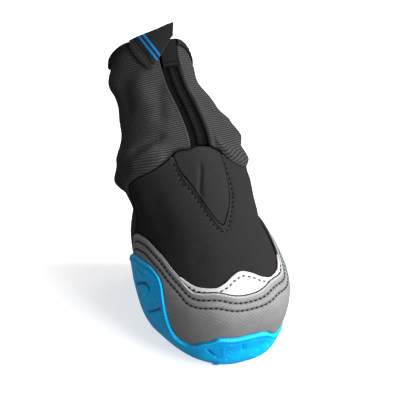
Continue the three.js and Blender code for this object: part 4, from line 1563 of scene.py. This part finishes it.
@dataclass
class Upper:
    """Softshell upper with its rand, reflective trim, throat gusset, piping and stitches."""

    shell: float = 1.6
    rand: float = 1.0
    trim: float = 0.7
    # mm from an edge to its rows of stitches
    throat_drop: float = 1.7
    rand_drops: tuple[float, float] = (2.4, 5.2)
    trim_drop: float = 1.5
    # mm that a stitch pulls the cloth in
    throat_dent: float = 0.35
    rand_dent: float = 0.32
    trim_dent: float = 0.22
    # mm that the stitches sink in the cloth
    rand_sink: float = 0.22
    trim_sink: float = 0.12
    # mm: the turned hems' swell, the sewn channels' depth and width, the rand's lower tuck
    hem: float = 0.25
    rand_hem: float = 0.16
    channel: float = 0.15
    rand_channel: float = 0.1
    channel_width: float = 0.8
    tuck_in: float = 0.25
    piping_radius: float = 0.38
    gusset_reach: float = 23.4
    gusset_puff: float = 1.5
    # level where the gusset starts to puff out, and over how much
    gusset_start: tuple[float, float] = (6.2, 0.8)
    gusset_folds: tuple = (
        Fold(((-1.5, 88), (-3, 84), (-6, 81), (-9, 78), (-10, 74.5)), 1.0, -1.0, 0.25),
        Fold(((0, 87), (8, 84), (14, 81), (15, 77)), 2.4, 0.6, 0.3),
    )
    folds: tuple = (
        Fold(((-52, 78), (-58, 68), (-55, 58)), 5.0, -0.8),
        Fold(((-80, 72), (-84, 60), (-80, 52)), 5.0, 0.7),
        Fold(((34, 82), (40, 72), (44, 62)), 4.0, -0.6),
        Fold(((-20, 62), (-30, 56), (-40, 53)), 4.0, -0.4),
        Fold(((60, 76), (66, 66), (66, 56)), 4.0, 0.6),
    )

    def shell_grid(self, rows: int, columns: int) -> Patch:
        """Grid of the upper from the sole's feather edge to the throat and the cup's edge."""
        angle = column_angles(-180, 180, columns, looped=True)
        high = LAST.level_at(angle, shell_edge(angle))
        share = eased(rows, 0.5)[:, None]
        return Patch(angle, share * high, looped=True)

    def shell_piece(self) -> bpy.types.Object:
        """The softshell: drawn soft hollows, a turned edge and stitch dents."""
        face, back = self.shell_grid(150, 400), self.shell_grid(16, 400)
        lift = fold_lift(face.base, self.folds)
        lift = lift + self.hem * bump(face.top, 1.6, 2.6) - rounded(face.top, 0.6)
        # painted highlight along the turned top edge
        rim = bump(face.top, 0.2, 0.8) * (np.abs(face.angle) < SHELL_END)
        path, out = self.throat_path()
        dents = THROAT_SEAM.dents(face.base, path, out, self.throat_dent, 0.7)
        gap, _ = path_distance(face.base, path)
        lift = lift + dents - self.channel * bump(gap, 0, 1.2)
        # painted highlight on the cloth beside the throat's stitches, less in their dents
        rim = np.maximum(rim, 0.8 * bump(gap, 0, 0.8) * (1 + dents / self.throat_dent))
        return wall("softshell_upper", face, lift, back, -self.shell, 60, rim=rim)

    def throat_path(self) -> tuple[Array, Array]:
        """Stitch row round the throat's V, just outside its edge."""
        return edge_path(shell_edge, -THROAT_END, THROAT_END, self.throat_drop, 0.12, 240)

    def rand_paths(self, lift: float) -> list[tuple[Array, Array]]:
        """The two stitch rows under the rand's upper edge."""
        ends = (-RAND_END + 4, RAND_END - 4)
        return [edge_path(rand_top, *ends, drop, lift, 700) for drop in self.rand_drops]

    def trim_path(self, lift: float) -> tuple[Array, Array]:
        """Stitch row under the trim's upper edge."""
        return edge_path(trim_top, -TRIM_END + 5, TRIM_END - 5, self.trim_drop, lift)

    def band(self, low: Callable[[Array], Array], high: Callable[[Array], Array], end: float,
             rows: int, columns: int, pull: float = 0.6) -> Patch:
        """Grid of a band on the skin between two heights.

        Args:
            low: lower height by angle.
            high: upper height by angle.
            end: last angle on each side.
            rows: stretches upwards.
            columns: stretches round.
            pull: how much closer rows lie near the edges.

        Returns:
            The grid.
        """
        angle = column_angles(-end, end, columns)
        a, b = LAST.level_at(angle, low(angle)), LAST.level_at(angle, high(angle))
        return Patch(angle, a + (b - a) * eased(rows, pull)[:, None])

    def rand_piece(self) -> bpy.types.Object:
        """The rand: coated cloth with two sewn channels and a folded upper edge."""
        def low(angle: Array) -> Array:
            """Just over the cup's edge."""
            return sole_edge(angle, FIT)

        face = self.band(low, rand_top, RAND_END, 92, 520)
        back = self.band(low, rand_top, RAND_END, 10, 520)
        ends = np.minimum(face.u - face.u[:, :1], face.u[:, -1:] - face.u)
        lift = OVERLAY_FIT + self.rand - rounded(face.top, 0.7) - rounded(ends, 0.7)
        lift = lift + self.rand_hem * bump(face.top, 1.1, 1.3)
        groove = np.zeros_like(face.u)
        for path, out in self.rand_paths(OVERLAY_FIT + self.rand):
            gap, _ = path_distance(face.lifted(OVERLAY_FIT + self.rand), path[::6])
            channel = np.exp(-((gap / self.channel_width) ** 2))
            dents = RAND_SEAM.dents(face.lifted(lift), path, out, self.rand_dent, 0.6)
            lift = lift - self.rand_channel * channel + dents
            # painted shade in the stitch dents
            groove = np.maximum(groove, -dents / self.rand_dent * 0.8)
        lift = lift - self.tuck_in * bump(face.v, 0.0, 1.2)
        # painted highlight along the folded top edge
        rim = bump(face.top, 0.3, 1.1)
        return wall("coated_rand", face, lift, back, OVERLAY_FIT, 60, groove=groove, rim=rim)

    def trim_piece(self) -> bpy.types.Object:
        """The silver trim between the rand's edge and its own two-peaked upper edge."""
        def low(angle: Array) -> Array:
            """Just over the rand's edge."""
            return rand_top(angle, FIT)

        def high(angle: Array) -> Array:
            """The peaked edge, never under the rand's."""
            return np.maximum(trim_top(angle), rand_top(angle, FIT) + 0.3)

        face = self.band(low, high, TRIM_END, 28, 260)
        back = self.band(low, high, TRIM_END, 4, 260)
        lift = OVERLAY_FIT + self.trim - rounded(face.top, 0.4)
        path, out = self.trim_path(OVERLAY_FIT + self.trim)
        dents = TRIM_SEAM.dents(face.lifted(lift), path, out, self.trim_dent, 0.5)
        # painted shade in the stitch dents, carried as groove
        groove = np.clip(-dents / self.trim_dent * 0.55, 0, 1)
        return wall("silver_trim", face, lift + dents, back, OVERLAY_FIT, 60, groove=groove)

    def gusset_piece(self) -> bpy.types.Object:
        """The bellows in the throat: a soft bulge with a crease and a ridge."""
        angle = column_angles(-self.gusset_reach, self.gusset_reach, 130)
        low = LAST.level_at(angle, shell_edge(angle, FIT))
        high = LAST.level_at(angle, gusset_top(angle))

        def grid(rows: int) -> Patch:
            """Rows between the throat's line and the gusset's top."""
            return Patch(angle, low + (high - low) * eased(rows, 0.5)[:, None])

        face, back = grid(110), grid(8)
        puff, swell = (self.gusset_puff * bump(side.angle, 0, THROAT_END)
                       * ramp(side.level, *self.gusset_start) for side in (face, back))
        lift = puff + fold_lift(face.base, self.gusset_folds) - rounded(face.top, 1.4)
        ends = np.minimum(face.v, np.minimum(face.u - face.u[:, :1], face.u[:, -1:] - face.u))
        lift = lift - 0.35 * bump(ends, 0.0, 1.4)
        # painted shade along the edges where the gusset tucks under the softshell
        shade = 0.6 * bump(ends, 0.0, 0.9)
        return wall("throat_bellows", face, lift, back, swell - self.shell, 60, groove=shade)

    def piping(self, side: int) -> bpy.types.Object:
        """Pale cord on the rand's upper edge, from the trim's corner to the rand's end."""
        start, end = side * (TRIM_END - 3), side * (RAND_END - 0.5)
        path, out = edge_path(rand_top, start, end, -0.1, OVERLAY_FIT + self.rand * 0.75)
        name = "rand_piping_right" if side < 0 else "rand_piping_left"
        return tube(name, path, out, self.piping_radius)

    def stitches(self) -> None:
        """All stitch rows of the upper."""
        sunk_rand = OVERLAY_FIT + self.rand - self.rand_sink
        sunk_trim = OVERLAY_FIT + self.trim - self.trim_sink
        rows = (
            ("rand_stitches", RAND_SEAM, self.rand_paths(sunk_rand), "rand_fabric"),
            ("trim_stitches", TRIM_SEAM, [self.trim_path(sunk_trim)], "silver_fabric"),
            ("throat_stitches", THROAT_SEAM, [self.throat_path()], "softshell"),
        )
        for name, seam, paths, slot in rows:
            soup = Soup()
            for path, out in paths:
                seam.add(soup, path, out)
            dress(soup.build(name), Finishes.DARK_THREAD, slot)

    def build(self) -> None:
        """Makes and dresses every piece of the upper."""
        dress(self.shell_piece(), Finishes.SOFTSHELL, "softshell", ["upper"])
        dress(self.rand_piece(), Finishes.RAND, "rand_fabric", ["toe_rand"])
        dress(self.trim_piece(), Finishes.FILM, "silver_fabric", ["reflective_trim"])
        dress(self.gusset_piece(), Finishes.GUSSET, "gusset_fabric", ["throat_gusset"])
        for side in (-1, 1):
            dress(self.piping(side), Finishes.PIPING, "rand_fabric")
        self.stitches()


# Gaiter


@dataclass
class Gaiter:
    """Slack knit gaiter with its front zip, garage patch, collar binding and tab."""

    wall: float = 1.8
    slit_width: float = 10.4
    slit_angle: float = 10.0
    slit_turn: float = 5.0
    # mm of knit in a column's degree beside the slit
    column_step: float = 0.55
    zip_wall: float = 1.0
    # levels over the ankle seam: the tape's ends, the coil's ends and the garage's start
    tape_run: tuple[float, float] = (0.35, 4.8)
    coil_run: tuple[float, float] = (0.45, 4.3)
    garage_start: float = 3.75
    coil_width: float = 3.4
    coil_rise: float = 1.1
    # slack of the knit in mm: at the ankle seam, the heel, the side, and its soft rolls
    roll: float = 2.0
    heel_fold: float = 5.0
    bag: Hill = Hill(2.0, -95, 50)
    soft_rolls: float = 0.35
    # levels that the collar sags by, and that the knit stays under the binding's fold
    sag: float = 0.95
    under_fold: float = 0.13
    # mm that the knit hangs over the softshell on the boot's left, and on its right
    hang: float = 3.0
    hang_right: float = 1.05
    # columns where each starts, over how many, where it ends, and over how many
    sag_run: tuple = (12, 62, 96, 70)
    left_run: tuple = (14, 12, 62, 45)
    right_run: tuple = (30, 20, 90, 30)
    # mm that the knit swells over its lower edge: at once, higher up, and by its hang
    belly: tuple[float, float, float] = (0.5, 0.7, 0.4)
    binding_width: float = 3.4
    binding_wall: float = 0.9
    # by columns: mm that the binding is wider on the right, and narrower on the left
    binding_wide: Hill = Hill(1.2, -90, 80)
    binding_slim: float = 1.7
    binding_inside: float = 1.6
    tuck: float = 0.8
    zigzag: float = 1.7
    tab_wall: float = 1.1
    tab_stand: float = 8.8
    tab_cut: tuple[float, float] = (0.030, 0.020)
    tab_area: float = 0.00033
    # angle, foot level, share of the stand
    tab_foot: tuple = (
        (-46, 12.8, .1), (-38, 12.45, .25), (-29, 12.05, .4), (-20, 11.72, .55),
        (-11, 12.1, .7), (-2, 12.5, .83), (6, 12.86, .93), (14, 13.2, 1),
    )
    # share of the tab's upper edge from its tip to its sewn edge, mm from that edge to things
    tab_tip: float = 26 / 60
    stripes: tuple[float, float] = (5.2, 7.4)
    seam_band: float = 1.8
    folds: tuple = (
        Fold(((-34, 124), (-42, 114), (-50, 103)), 4.5, 1.2),
        Fold(((-16, 118), (-24, 108), (-32, 99)), 3.2, -1.1),
        Fold(((-24, 98), (-38, 95), (-54, 91), (-72, 86)), 2.4, -1.3),
        Fold(((-34, 93), (-52, 88), (-76, 81)), 2.2, 0.9),
        Fold(((-62, 118), (-68, 108), (-72, 98)), 3.5, -1.0),
        Fold(((20, 112), (32, 102), (44, 93)), 2.6, -1.0),
        Fold(((36, 106), (50, 99), (62, 90)), 2.8, 1.0),
        Fold(((26, 122), (38, 114), (52, 106)), 3.0, 0.8),
        Fold(((-120, 118), (-135, 106), (-128, 94)), 5.0, -1.0),
        Fold(((110, 112), (124, 100), (118, 88)), 5.0, -1.0),
        Fold(((-165, 108), (-178, 100), (-190, 96)), 4.0, 0.9),
    )

    def twist(self, level: Array) -> Array:
        """Turn of the zip's line from the middle, growing towards the collar."""
        span = LAST.collar - LAST.seam
        return self.slit_turn * (1 + ramp(level, LAST.seam, span))

    def slit(self, level: Array) -> Array:
        """Half the slit's opening in degrees: constant width over the ankle seam."""
        fore = LAST.ring(level)[..., 4]
        full = np.degrees(np.arcsin(self.slit_width / 2 / fore))
        share = ramp(level, LAST.seam, 1.5)
        return self.slit_angle + (full - self.slit_angle) * share * (level > LAST.seam)

    def turn(self, column: Array, level: Array) -> Array:
        """Angle of a gaiter column at a level: spread from the slit and turned with the zip."""
        slit = self.slit(level)
        size = slit + (180 - slit) * (np.abs(column) - self.slit_angle) / (180 - self.slit_angle)
        angle = np.sign(column) * size
        return angle + self.twist(level) * (1 + np.cos(np.radians(angle))) / 2

    def slack(self, column: Array, level: Array, low: Array) -> Array:
        """Slack of the knit: a roll over the ankle seam, a fold at the heel and soft rolls."""
        side = np.abs(column)
        aside = ramp(side, 22, 30)
        roll = self.roll * bump(level, LAST.seam + 0.4, 0.9) * aside
        fold = self.heel_fold * bump(level, LAST.seam - 0.65, 1.0) * ramp(side, 84, 30)
        wave = np.sin((level - LAST.seam) * 5 + column * 0.03)
        rolls = self.soft_rolls * wave * ramp(level, LAST.seam, 1.5)
        bag = self.bag.at(column) * bump(level, LAST.collar - 1.15, 0.65)
        swell = roll + fold + bag + rolls * aside * smooth((LAST.collar - 0.6 - level) / 0.8)
        return swell * ramp(level, low, 0.8)

    def columns(self, count: int) -> Array:
        """Columns from the slit's edge on the boot's left round the heel to its other edge."""
        right = np.linspace(self.slit_angle, 180, count // 2 + 1)
        left = np.linspace(-180, -self.slit_angle, count // 2 + 1)[1:]
        return np.concatenate([right, left])

    def rim(self, column: Array) -> Array:
        """Level of the collar's edge: it sags on the boot's left."""
        return LAST.collar - self.sag * plateau(column, *self.sag_run)

    def low(self, column: Array) -> Array:
        """Level of the gaiter's lower edge: along the gusset's top, then the softshell's edge."""
        angle = self.turn(column, np.full(column.shape, float(LAST.seam)))
        over = np.where(np.abs(angle) <= THROAT_END, gusset_top(angle, FIT),
                        shell_edge(angle, FIT))
        return LAST.level_at(angle, over)

    def grid(self, rows: int, columns: Array, low: Array, high: Array, pull: float = 0.0) -> Patch:
        """Grid of the gaiter between two levels."""
        level = low + (high - low) * eased(rows, pull)[:, None]
        return Patch(self.turn(columns, level), level)

    def knit_piece(self) -> bpy.types.Object:
        """The knit: ribs round the shaft at even lengths along it, folds and turned hems."""
        columns = self.columns(280)
        low = self.low(columns)
        high = self.rim(columns) - self.under_fold
        face, back = self.grid(250, columns, low, high, 0.5), self.grid(14, columns, low, high)
        slack = self.slack(columns, face.level, low)
        levels = np.linspace(0, LAST.collar, 400)
        flank = (LAST.point(75.0, levels) + LAST.point(-75.0, levels)) / 2
        run = np.interp(face.level, levels, arc(flank[None], 1)[0])
        hem = np.minimum(face.v, face.top)
        aside = np.abs(np.abs(columns) - self.slit_angle) * self.column_step
        lift = slack + fold_lift(face.base, self.folds) * smooth(hem / 3) * smooth(aside / 4)
        lift = lift + 0.3 * bump(aside, 1.0, 1.6) - rounded(aside, 0.8)
        droop = self.droop(columns)[None]
        roll = plateau(face.v, 0, 1.1, 1.1, 7.0)
        start, more, by_droop = self.belly
        belly = start * ramp(face.v, 0, 0.6) + (more + by_droop * droop) * ramp(face.v, 0.6, 2.8)
        belly = belly * (1 - ramp(face.v, 3.2, 6.0)) * smooth(droop / 0.5)
        lift = lift + belly - rounded(face.v, 0.8)
        depth = self.slack(columns, back.level, low) - self.wall
        face.base = face.base - unit(np.gradient(face.base, axis=0)) * (droop * roll)[..., None]
        plain = np.maximum(1 - smooth(hem / 1.2), 1 - smooth(aside))
        # groove: painted shadow along the knit's lower edge, where it hangs over the softshell
        return wall("ribbed_gaiter", face, lift, back, depth, 75, run=run, plain=plain,
                    groove=bump(face.v, 0.0, 1.7))

    def droop(self, column: Array) -> Array:
        """How far the slack knit hangs over the softshell's edge in mm, most on the left."""
        left = self.hang * plateau(column, *self.left_run)
        return left + self.hang_right * plateau(-column, *self.right_run)

    def strip(self, low: float, high: float, reach: float, rows: int, across: int) -> Patch:
        """Grid behind or in the slit.

        Args:
            low: lower level.
            high: upper level.
            reach: half its width as a share of the slit's.
            rows: stretches upwards.
            across: stretches across.

        Returns:
            The grid.
        """
        level = np.broadcast_to(np.linspace(low, high, rows + 1)[:, None], (rows + 1, across + 1))
        side = np.linspace(-reach, reach, across + 1)[None]
        return Patch(side * self.slit(level) + self.twist(level), level)

    def tape_piece(self) -> bpy.types.Object:
        """The zip's tape behind the slit, raised along its middle under the coil."""
        deep = -self.wall - FIT
        ends = (LAST.seam + self.tape_run[0], LAST.seam + self.tape_run[1], 1.5)
        face, back = self.strip(*ends, 120, 60), self.strip(*ends, 10, 60)
        side = np.linspace(-ends[2], ends[2], 61)[None]
        coil = self.coil_rise * bump(side, 0, self.coil_width / self.slit_width * 1.4)
        lift = deep + coil + np.zeros_like(face.u)
        return wall("zip_tape", face, lift, back, deep - self.zip_wall, 60)

    def coil_piece(self) -> bpy.types.Object:
        """The coil's turns: short beads across the tape, slanted by turns."""
        level = LAST.seam + np.linspace(*self.coil_run, 300)
        turns, bead = Seam(1.1, 1.5, 0.6, 0.2), Seam(9.0, 1.5, 0.6, 0.2)
        soup = Soup()
        for side in (-1, 1):
            angle = self.twist(level) + side * 0.11 * self.slit(level)
            path = LAST.skin(angle, level, -self.wall - FIT + self.coil_rise)
            for m, d, n in zip(*turns.spots(path, LAST.normal(angle, level))):
                c = unit(np.cross(n, d) + side * 0.25 * d)
                bead.add(soup, np.stack([m - c, m + c]), np.stack([n, n]))
        return soup.build("zip_coil")

    def garage_piece(self) -> bpy.types.Object:
        """The smooth patch over the zip's upper end, with a sewn lower edge."""
        deep = -self.wall + self.zip_wall + 2 * FIT
        ends = (LAST.seam + self.garage_start, float(LAST.collar), 0.86)
        face, back = self.strip(*ends, 60, 40), self.strip(*ends, 8, 40)
        lift = deep + self.zip_wall - rounded(face.v, 0.5)
        lift = lift - 0.25 * bump(face.v, 2.2, 0.7) + 0.12 * bump(face.v, 1.0, 1.0)
        # painted shade in the sewn lower edge's channel and along the right edge
        groove = 0.8 * bump(face.v, 2.2, 0.6) + 0.8 * bump(face.u[:, -1:] - face.u, 0, 1.1)
        return wall("zip_garage_patch", face, lift, back, deep, 60, groove=groove)

    def binding_piece(self) -> bpy.types.Object:
        """The band folded over the collar's edge, with zigzag stitches at its lower edge.

        Its profile is a narrow U turned over: up outside the knit, half a circle over its edge
        and down inside it. The inner layer is the same U, one wall nearer the knit.
        """
        columns = self.columns(600)
        left = bump(columns, 75, 60)
        width = self.binding_width + self.binding_wide.at(columns) - self.binding_slim * left
        thick = self.binding_wall * (1 - 0.5 * left)
        face, lift = self.binding_side(columns, width, FIT + thick, 0.0)
        back, depth = self.binding_side(columns, width, np.full(columns.shape, FIT), self.tuck)
        outside = lift > FIT
        lift = lift + 0.12 * np.sin(face.u * self.zigzag) * bump(face.v, 1.6, 1.8) * outside
        lift = lift - rounded(face.v, 0.5) * thick[None]
        phase = face.u / self.zigzag
        stitch = bump(face.v, 0.45 + 1.8 * np.abs(phase - np.round(phase)), 0.4)
        # rim: the zigzag stitches painted paler, and painted light over the boot's left side, which
        # faces the key lamp
        rim = 0.55 * stitch * ramp(-columns, 10, 20)[None] + 0.3 * left[None]
        return wall("collar_band", face, lift, back, depth, 70, rim=rim)

    def binding_side(self, columns: Array, width: Array, reach: Array,
                     tuck: float) -> tuple[Patch, Array]:
        """One layer of the band's U.

        Args:
            columns: columns of the gaiter.
            width: mm that the band reaches down outside.
            reach: mm off the skin outside, and off the knit's inner side inside.
            tuck: how far under the rim the layer's top stays in mm.

        Returns:
            The grid and its lift.
        """
        rows = LAST.sections()
        rise = math.hypot(*(rows[-1, :2] - rows[-2, :2]))
        bend = self.tuck + 0.2
        half, middle = reach + self.wall / 2, -self.wall / 2
        even = np.ones_like(columns)[None]
        up = np.linspace(1, 0, 25)[:, None]
        over = np.linspace(0, np.pi, 11)[1:-1, None]
        down = np.linspace(0, 1, 11)[:, None]
        drop = np.concatenate([
            bend + (width[None] - bend) * up,
            bend - (bend - tuck) * np.sin(over) * even,
            bend + self.binding_inside * down * even,
        ])
        across = np.concatenate([np.ones_like(up), np.cos(over), -np.ones_like(down)])
        level = self.rim(columns)[None] - drop / rise
        return Patch(self.turn(columns, level), level), middle + half[None] * across

    def tab_grid(self, rows: int, across: int, lift: float) -> Array:
        """The tab's grid: from its foot on the shaft to its free upper edge.

        Args:
            rows: stretches upwards.
            across: stretches across.
            lift: mm off the skin.

        Returns:
            Points in mm.
        """
        table = np.array(self.tab_foot)
        at = np.linspace(table[0, 0], table[-1, 0], across + 1)
        foot_level = np.interp(at, table[:, 0], table[:, 1])
        stand = np.interp(at, table[:, 0], table[:, 2])
        foot = LAST.skin(at, np.minimum(foot_level, LAST.collar), lift)
        foot[:, 2] += np.maximum(foot_level - LAST.collar, 0) * self.tab_stand
        top = LAST.skin(at, np.full(at.shape, float(LAST.collar)), lift)
        top[:, 2] += self.tab_stand * stand
        share = np.linspace(0, 1, rows + 1)[:, None, None]
        return foot[None] + (top - foot)[None] * share

    def tab_piece(self) -> bpy.types.Object:
        """The folded flap: sewn down along its left edge, with two plain blue stripes."""
        base = FIT * 2 + self.binding_wall
        rows, across = 100, 150
        outer = self.tab_grid(rows, across, base + self.tab_wall)
        inner = self.tab_grid(rows, across, base)
        soup = Soup()
        u, v = arc(outer, 1), arc(outer, 0)
        place = np.stack([u, v], -1)
        tip = int(across * self.tab_tip)
        seam = np.stack([outer[-1, 0], outer[0, tip]])
        gap, along = path_distance(outer, seam)
        stripe = np.maximum(*(bump(gap, off, 0.75) for off in self.stripes)) ** 0.5 > 0.5
        length = float(np.linalg.norm(seam[1] - seam[0]))
        stitch = pulse(along * length / self.zigzag, 0.55, 0.2) * bump(gap, 1.1, 0.5)
        band = 1 - ramp(gap, self.seam_band, 0.3)
        fold = bump(v, 0.3, 0.6) * (np.arange(across + 1) >= tip)[None]
        # painted highlight along the sewn edge and the folded lower edge, left off the stitches
        rim = np.clip(0.7 * band + 0.9 * fold, 0, 1) * (1 - stitch)
        # painted shade in a line beside the sewn band; the zigzag stitches are painted dark as their
        # thread
        groove = np.maximum(bump(gap, self.seam_band + 0.5, 0.45), stitch)
        ids = soup.add_points(outer, stripe=stripe * 1.0, rim=rim, groove=groove)
        back = soup.add_points(inner)
        soup.add_quads(ids, place)
        soup.add_quads(back[::-1], place[::-1])
        for strip in ((ids[-1], back[-1]), (back[0], ids[0]), (back[:, -1], ids[:, -1]),
                      (ids[:, 0], back[:, 0])):
            soup.add_quads(np.stack(strip))
        return soup.build("collar_flap", 50)

    def build(self) -> None:
        """Makes and dresses every piece of the gaiter."""
        dress(self.knit_piece(), Finishes.KNIT, "knit", ["gaiter"])
        dress(self.tape_piece(), Finishes.TAPE, "zip_tape", ["zip"])
        dress(self.coil_piece(), Finishes.COIL, "zip_tape")
        dress(self.garage_piece(), Finishes.PATCH, "patch_fabric", ["zip_garage"])
        dress(self.binding_piece(), Finishes.BINDING, "binding", ["collar_binding"])
        flap = dress(self.tab_piece(), Finishes.TAB, "tab_fabric", ["collar_tab"])


# Studio


@dataclass
class Studio:
    """Pale floor, soft lights and the photo's camera."""

    azimuth: float = -26.96
    elevation: float = 30.8
    roll: float = 2.28
    distance: float = 800.0
    focal: float = 1184.0 * 1.4
    target: tuple = (0.0, 8.0, 66.0)
    sensor: float = 36.0
    picture: float = 400.0
    sky: float = 0.2
    glow: float = 0.62
    floor_tone: float = 0.75
    floor_reach: float = 6.0
    # name, place in metres, size in metres, watts
    lamps: tuple = (
        ("key_right", (0.85, -0.45, 0.6), 0.4, 17.0),
        ("fill_left", (-0.85, -0.65, 0.15), 0.6, 2.0),
        ("front", (0.3, -1.02, 0.5), 0.4, 12.0),
        ("top", (0.4, 0.0, 1.1), 0.8, 5.0),
    )

    def camera(self) -> None:
        """Camera at the photo's angle to the boot, aimed at the target and rolled a little."""
        az, el, roll = (math.radians(v) for v in (self.azimuth, self.elevation, self.roll))
        back = np.array([math.sin(az) * math.cos(el), -math.cos(az) * math.cos(el), math.sin(el)])
        right = np.array([math.cos(az), math.sin(az), 0.0])
        up = np.cross(back, right)
        x = right * math.cos(roll) + up * math.sin(roll)
        y = -right * math.sin(roll) + up * math.cos(roll)
        place = (np.array(self.target) + back * self.distance) * MM
        data = bpy.data.cameras.new("camera")
        data.sensor_width = self.sensor
        data.lens = self.sensor * self.focal / self.picture
        data.clip_start, data.clip_end = 0.05, 20.0
        camera = add_object("camera", data)
        turn = Matrix(np.stack([x, y, back], axis=1).tolist()).to_4x4()
        camera.matrix_world = Matrix.Translation(Vector(place)) @ turn
        bpy.context.scene.camera = camera

    def lamp(self, name: str, place: Sequence[float], size: float, power: float) -> None:
        """A square soft light aimed at the boot.

        Args:
            name: the lamp's name.
            place: metres.
            size: metres.
            power: watts.
        """
        data = bpy.data.lights.new(name, "AREA")
        data.shape, data.size, data.energy = "SQUARE", size, power
        lamp = add_object(name, data)
        lamp.location = place
        aim = Vector((0, 0.01, 0.06)) - Vector(place)
        lamp.rotation_euler = aim.to_track_quat("-Z", "Y").to_euler()

    def floor(self) -> None:
        """A plain pale floor."""
        mesh = bpy.data.meshes.new("floor")
        size = self.floor_reach
        corners = [(-size, -size, 0), (size, -size, 0), (size, size, 0), (-size, size, 0)]
        mesh.from_pydata(corners, [], [(0, 1, 2, 3)])
        floor = add_object("floor", mesh)
        tone = self.floor_tone
        g = Graph("pale_floor", {"Base Color": (tone, tone, tone, 1.0), "Roughness": 1.0,
                                 "Specular IOR Level": 0.0, "Emission Strength": self.glow,
                                 "Emission Color": (1.0, 1.0, 1.0, 1.0)})
        mesh.materials.append(g.material)
        floor.visible_diffuse = floor.visible_glossy = False

    def build(self) -> None:
        """Sets camera, lights, floor and the surrounding light."""
        scene = bpy.context.scene
        scene.view_settings.view_transform = "Standard"
        scene.world = scene.world or bpy.data.worlds.new("studio")
        scene.world.use_nodes = True
        sky = scene.world.node_tree.nodes["Background"]
        sky.inputs["Color"].default_value = (1.0, 1.0, 1.0, 1.0)
        sky.inputs["Strength"].default_value = self.sky
        self.camera()
        self.floor()
        for lamp in self.lamps:
            self.lamp(*lamp)


def main() -> None:
    """Builds the boot over the frame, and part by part."""
    logging.basicConfig(level=logging.INFO, format="%(name)s %(message)s")
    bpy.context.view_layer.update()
    Studio().build()
    for part in (Sole(), Upper(), Gaiter()):
        LOG.info("part %s", type(part).__name__)
        part.build()


if __name__ == "__main__":
    main()
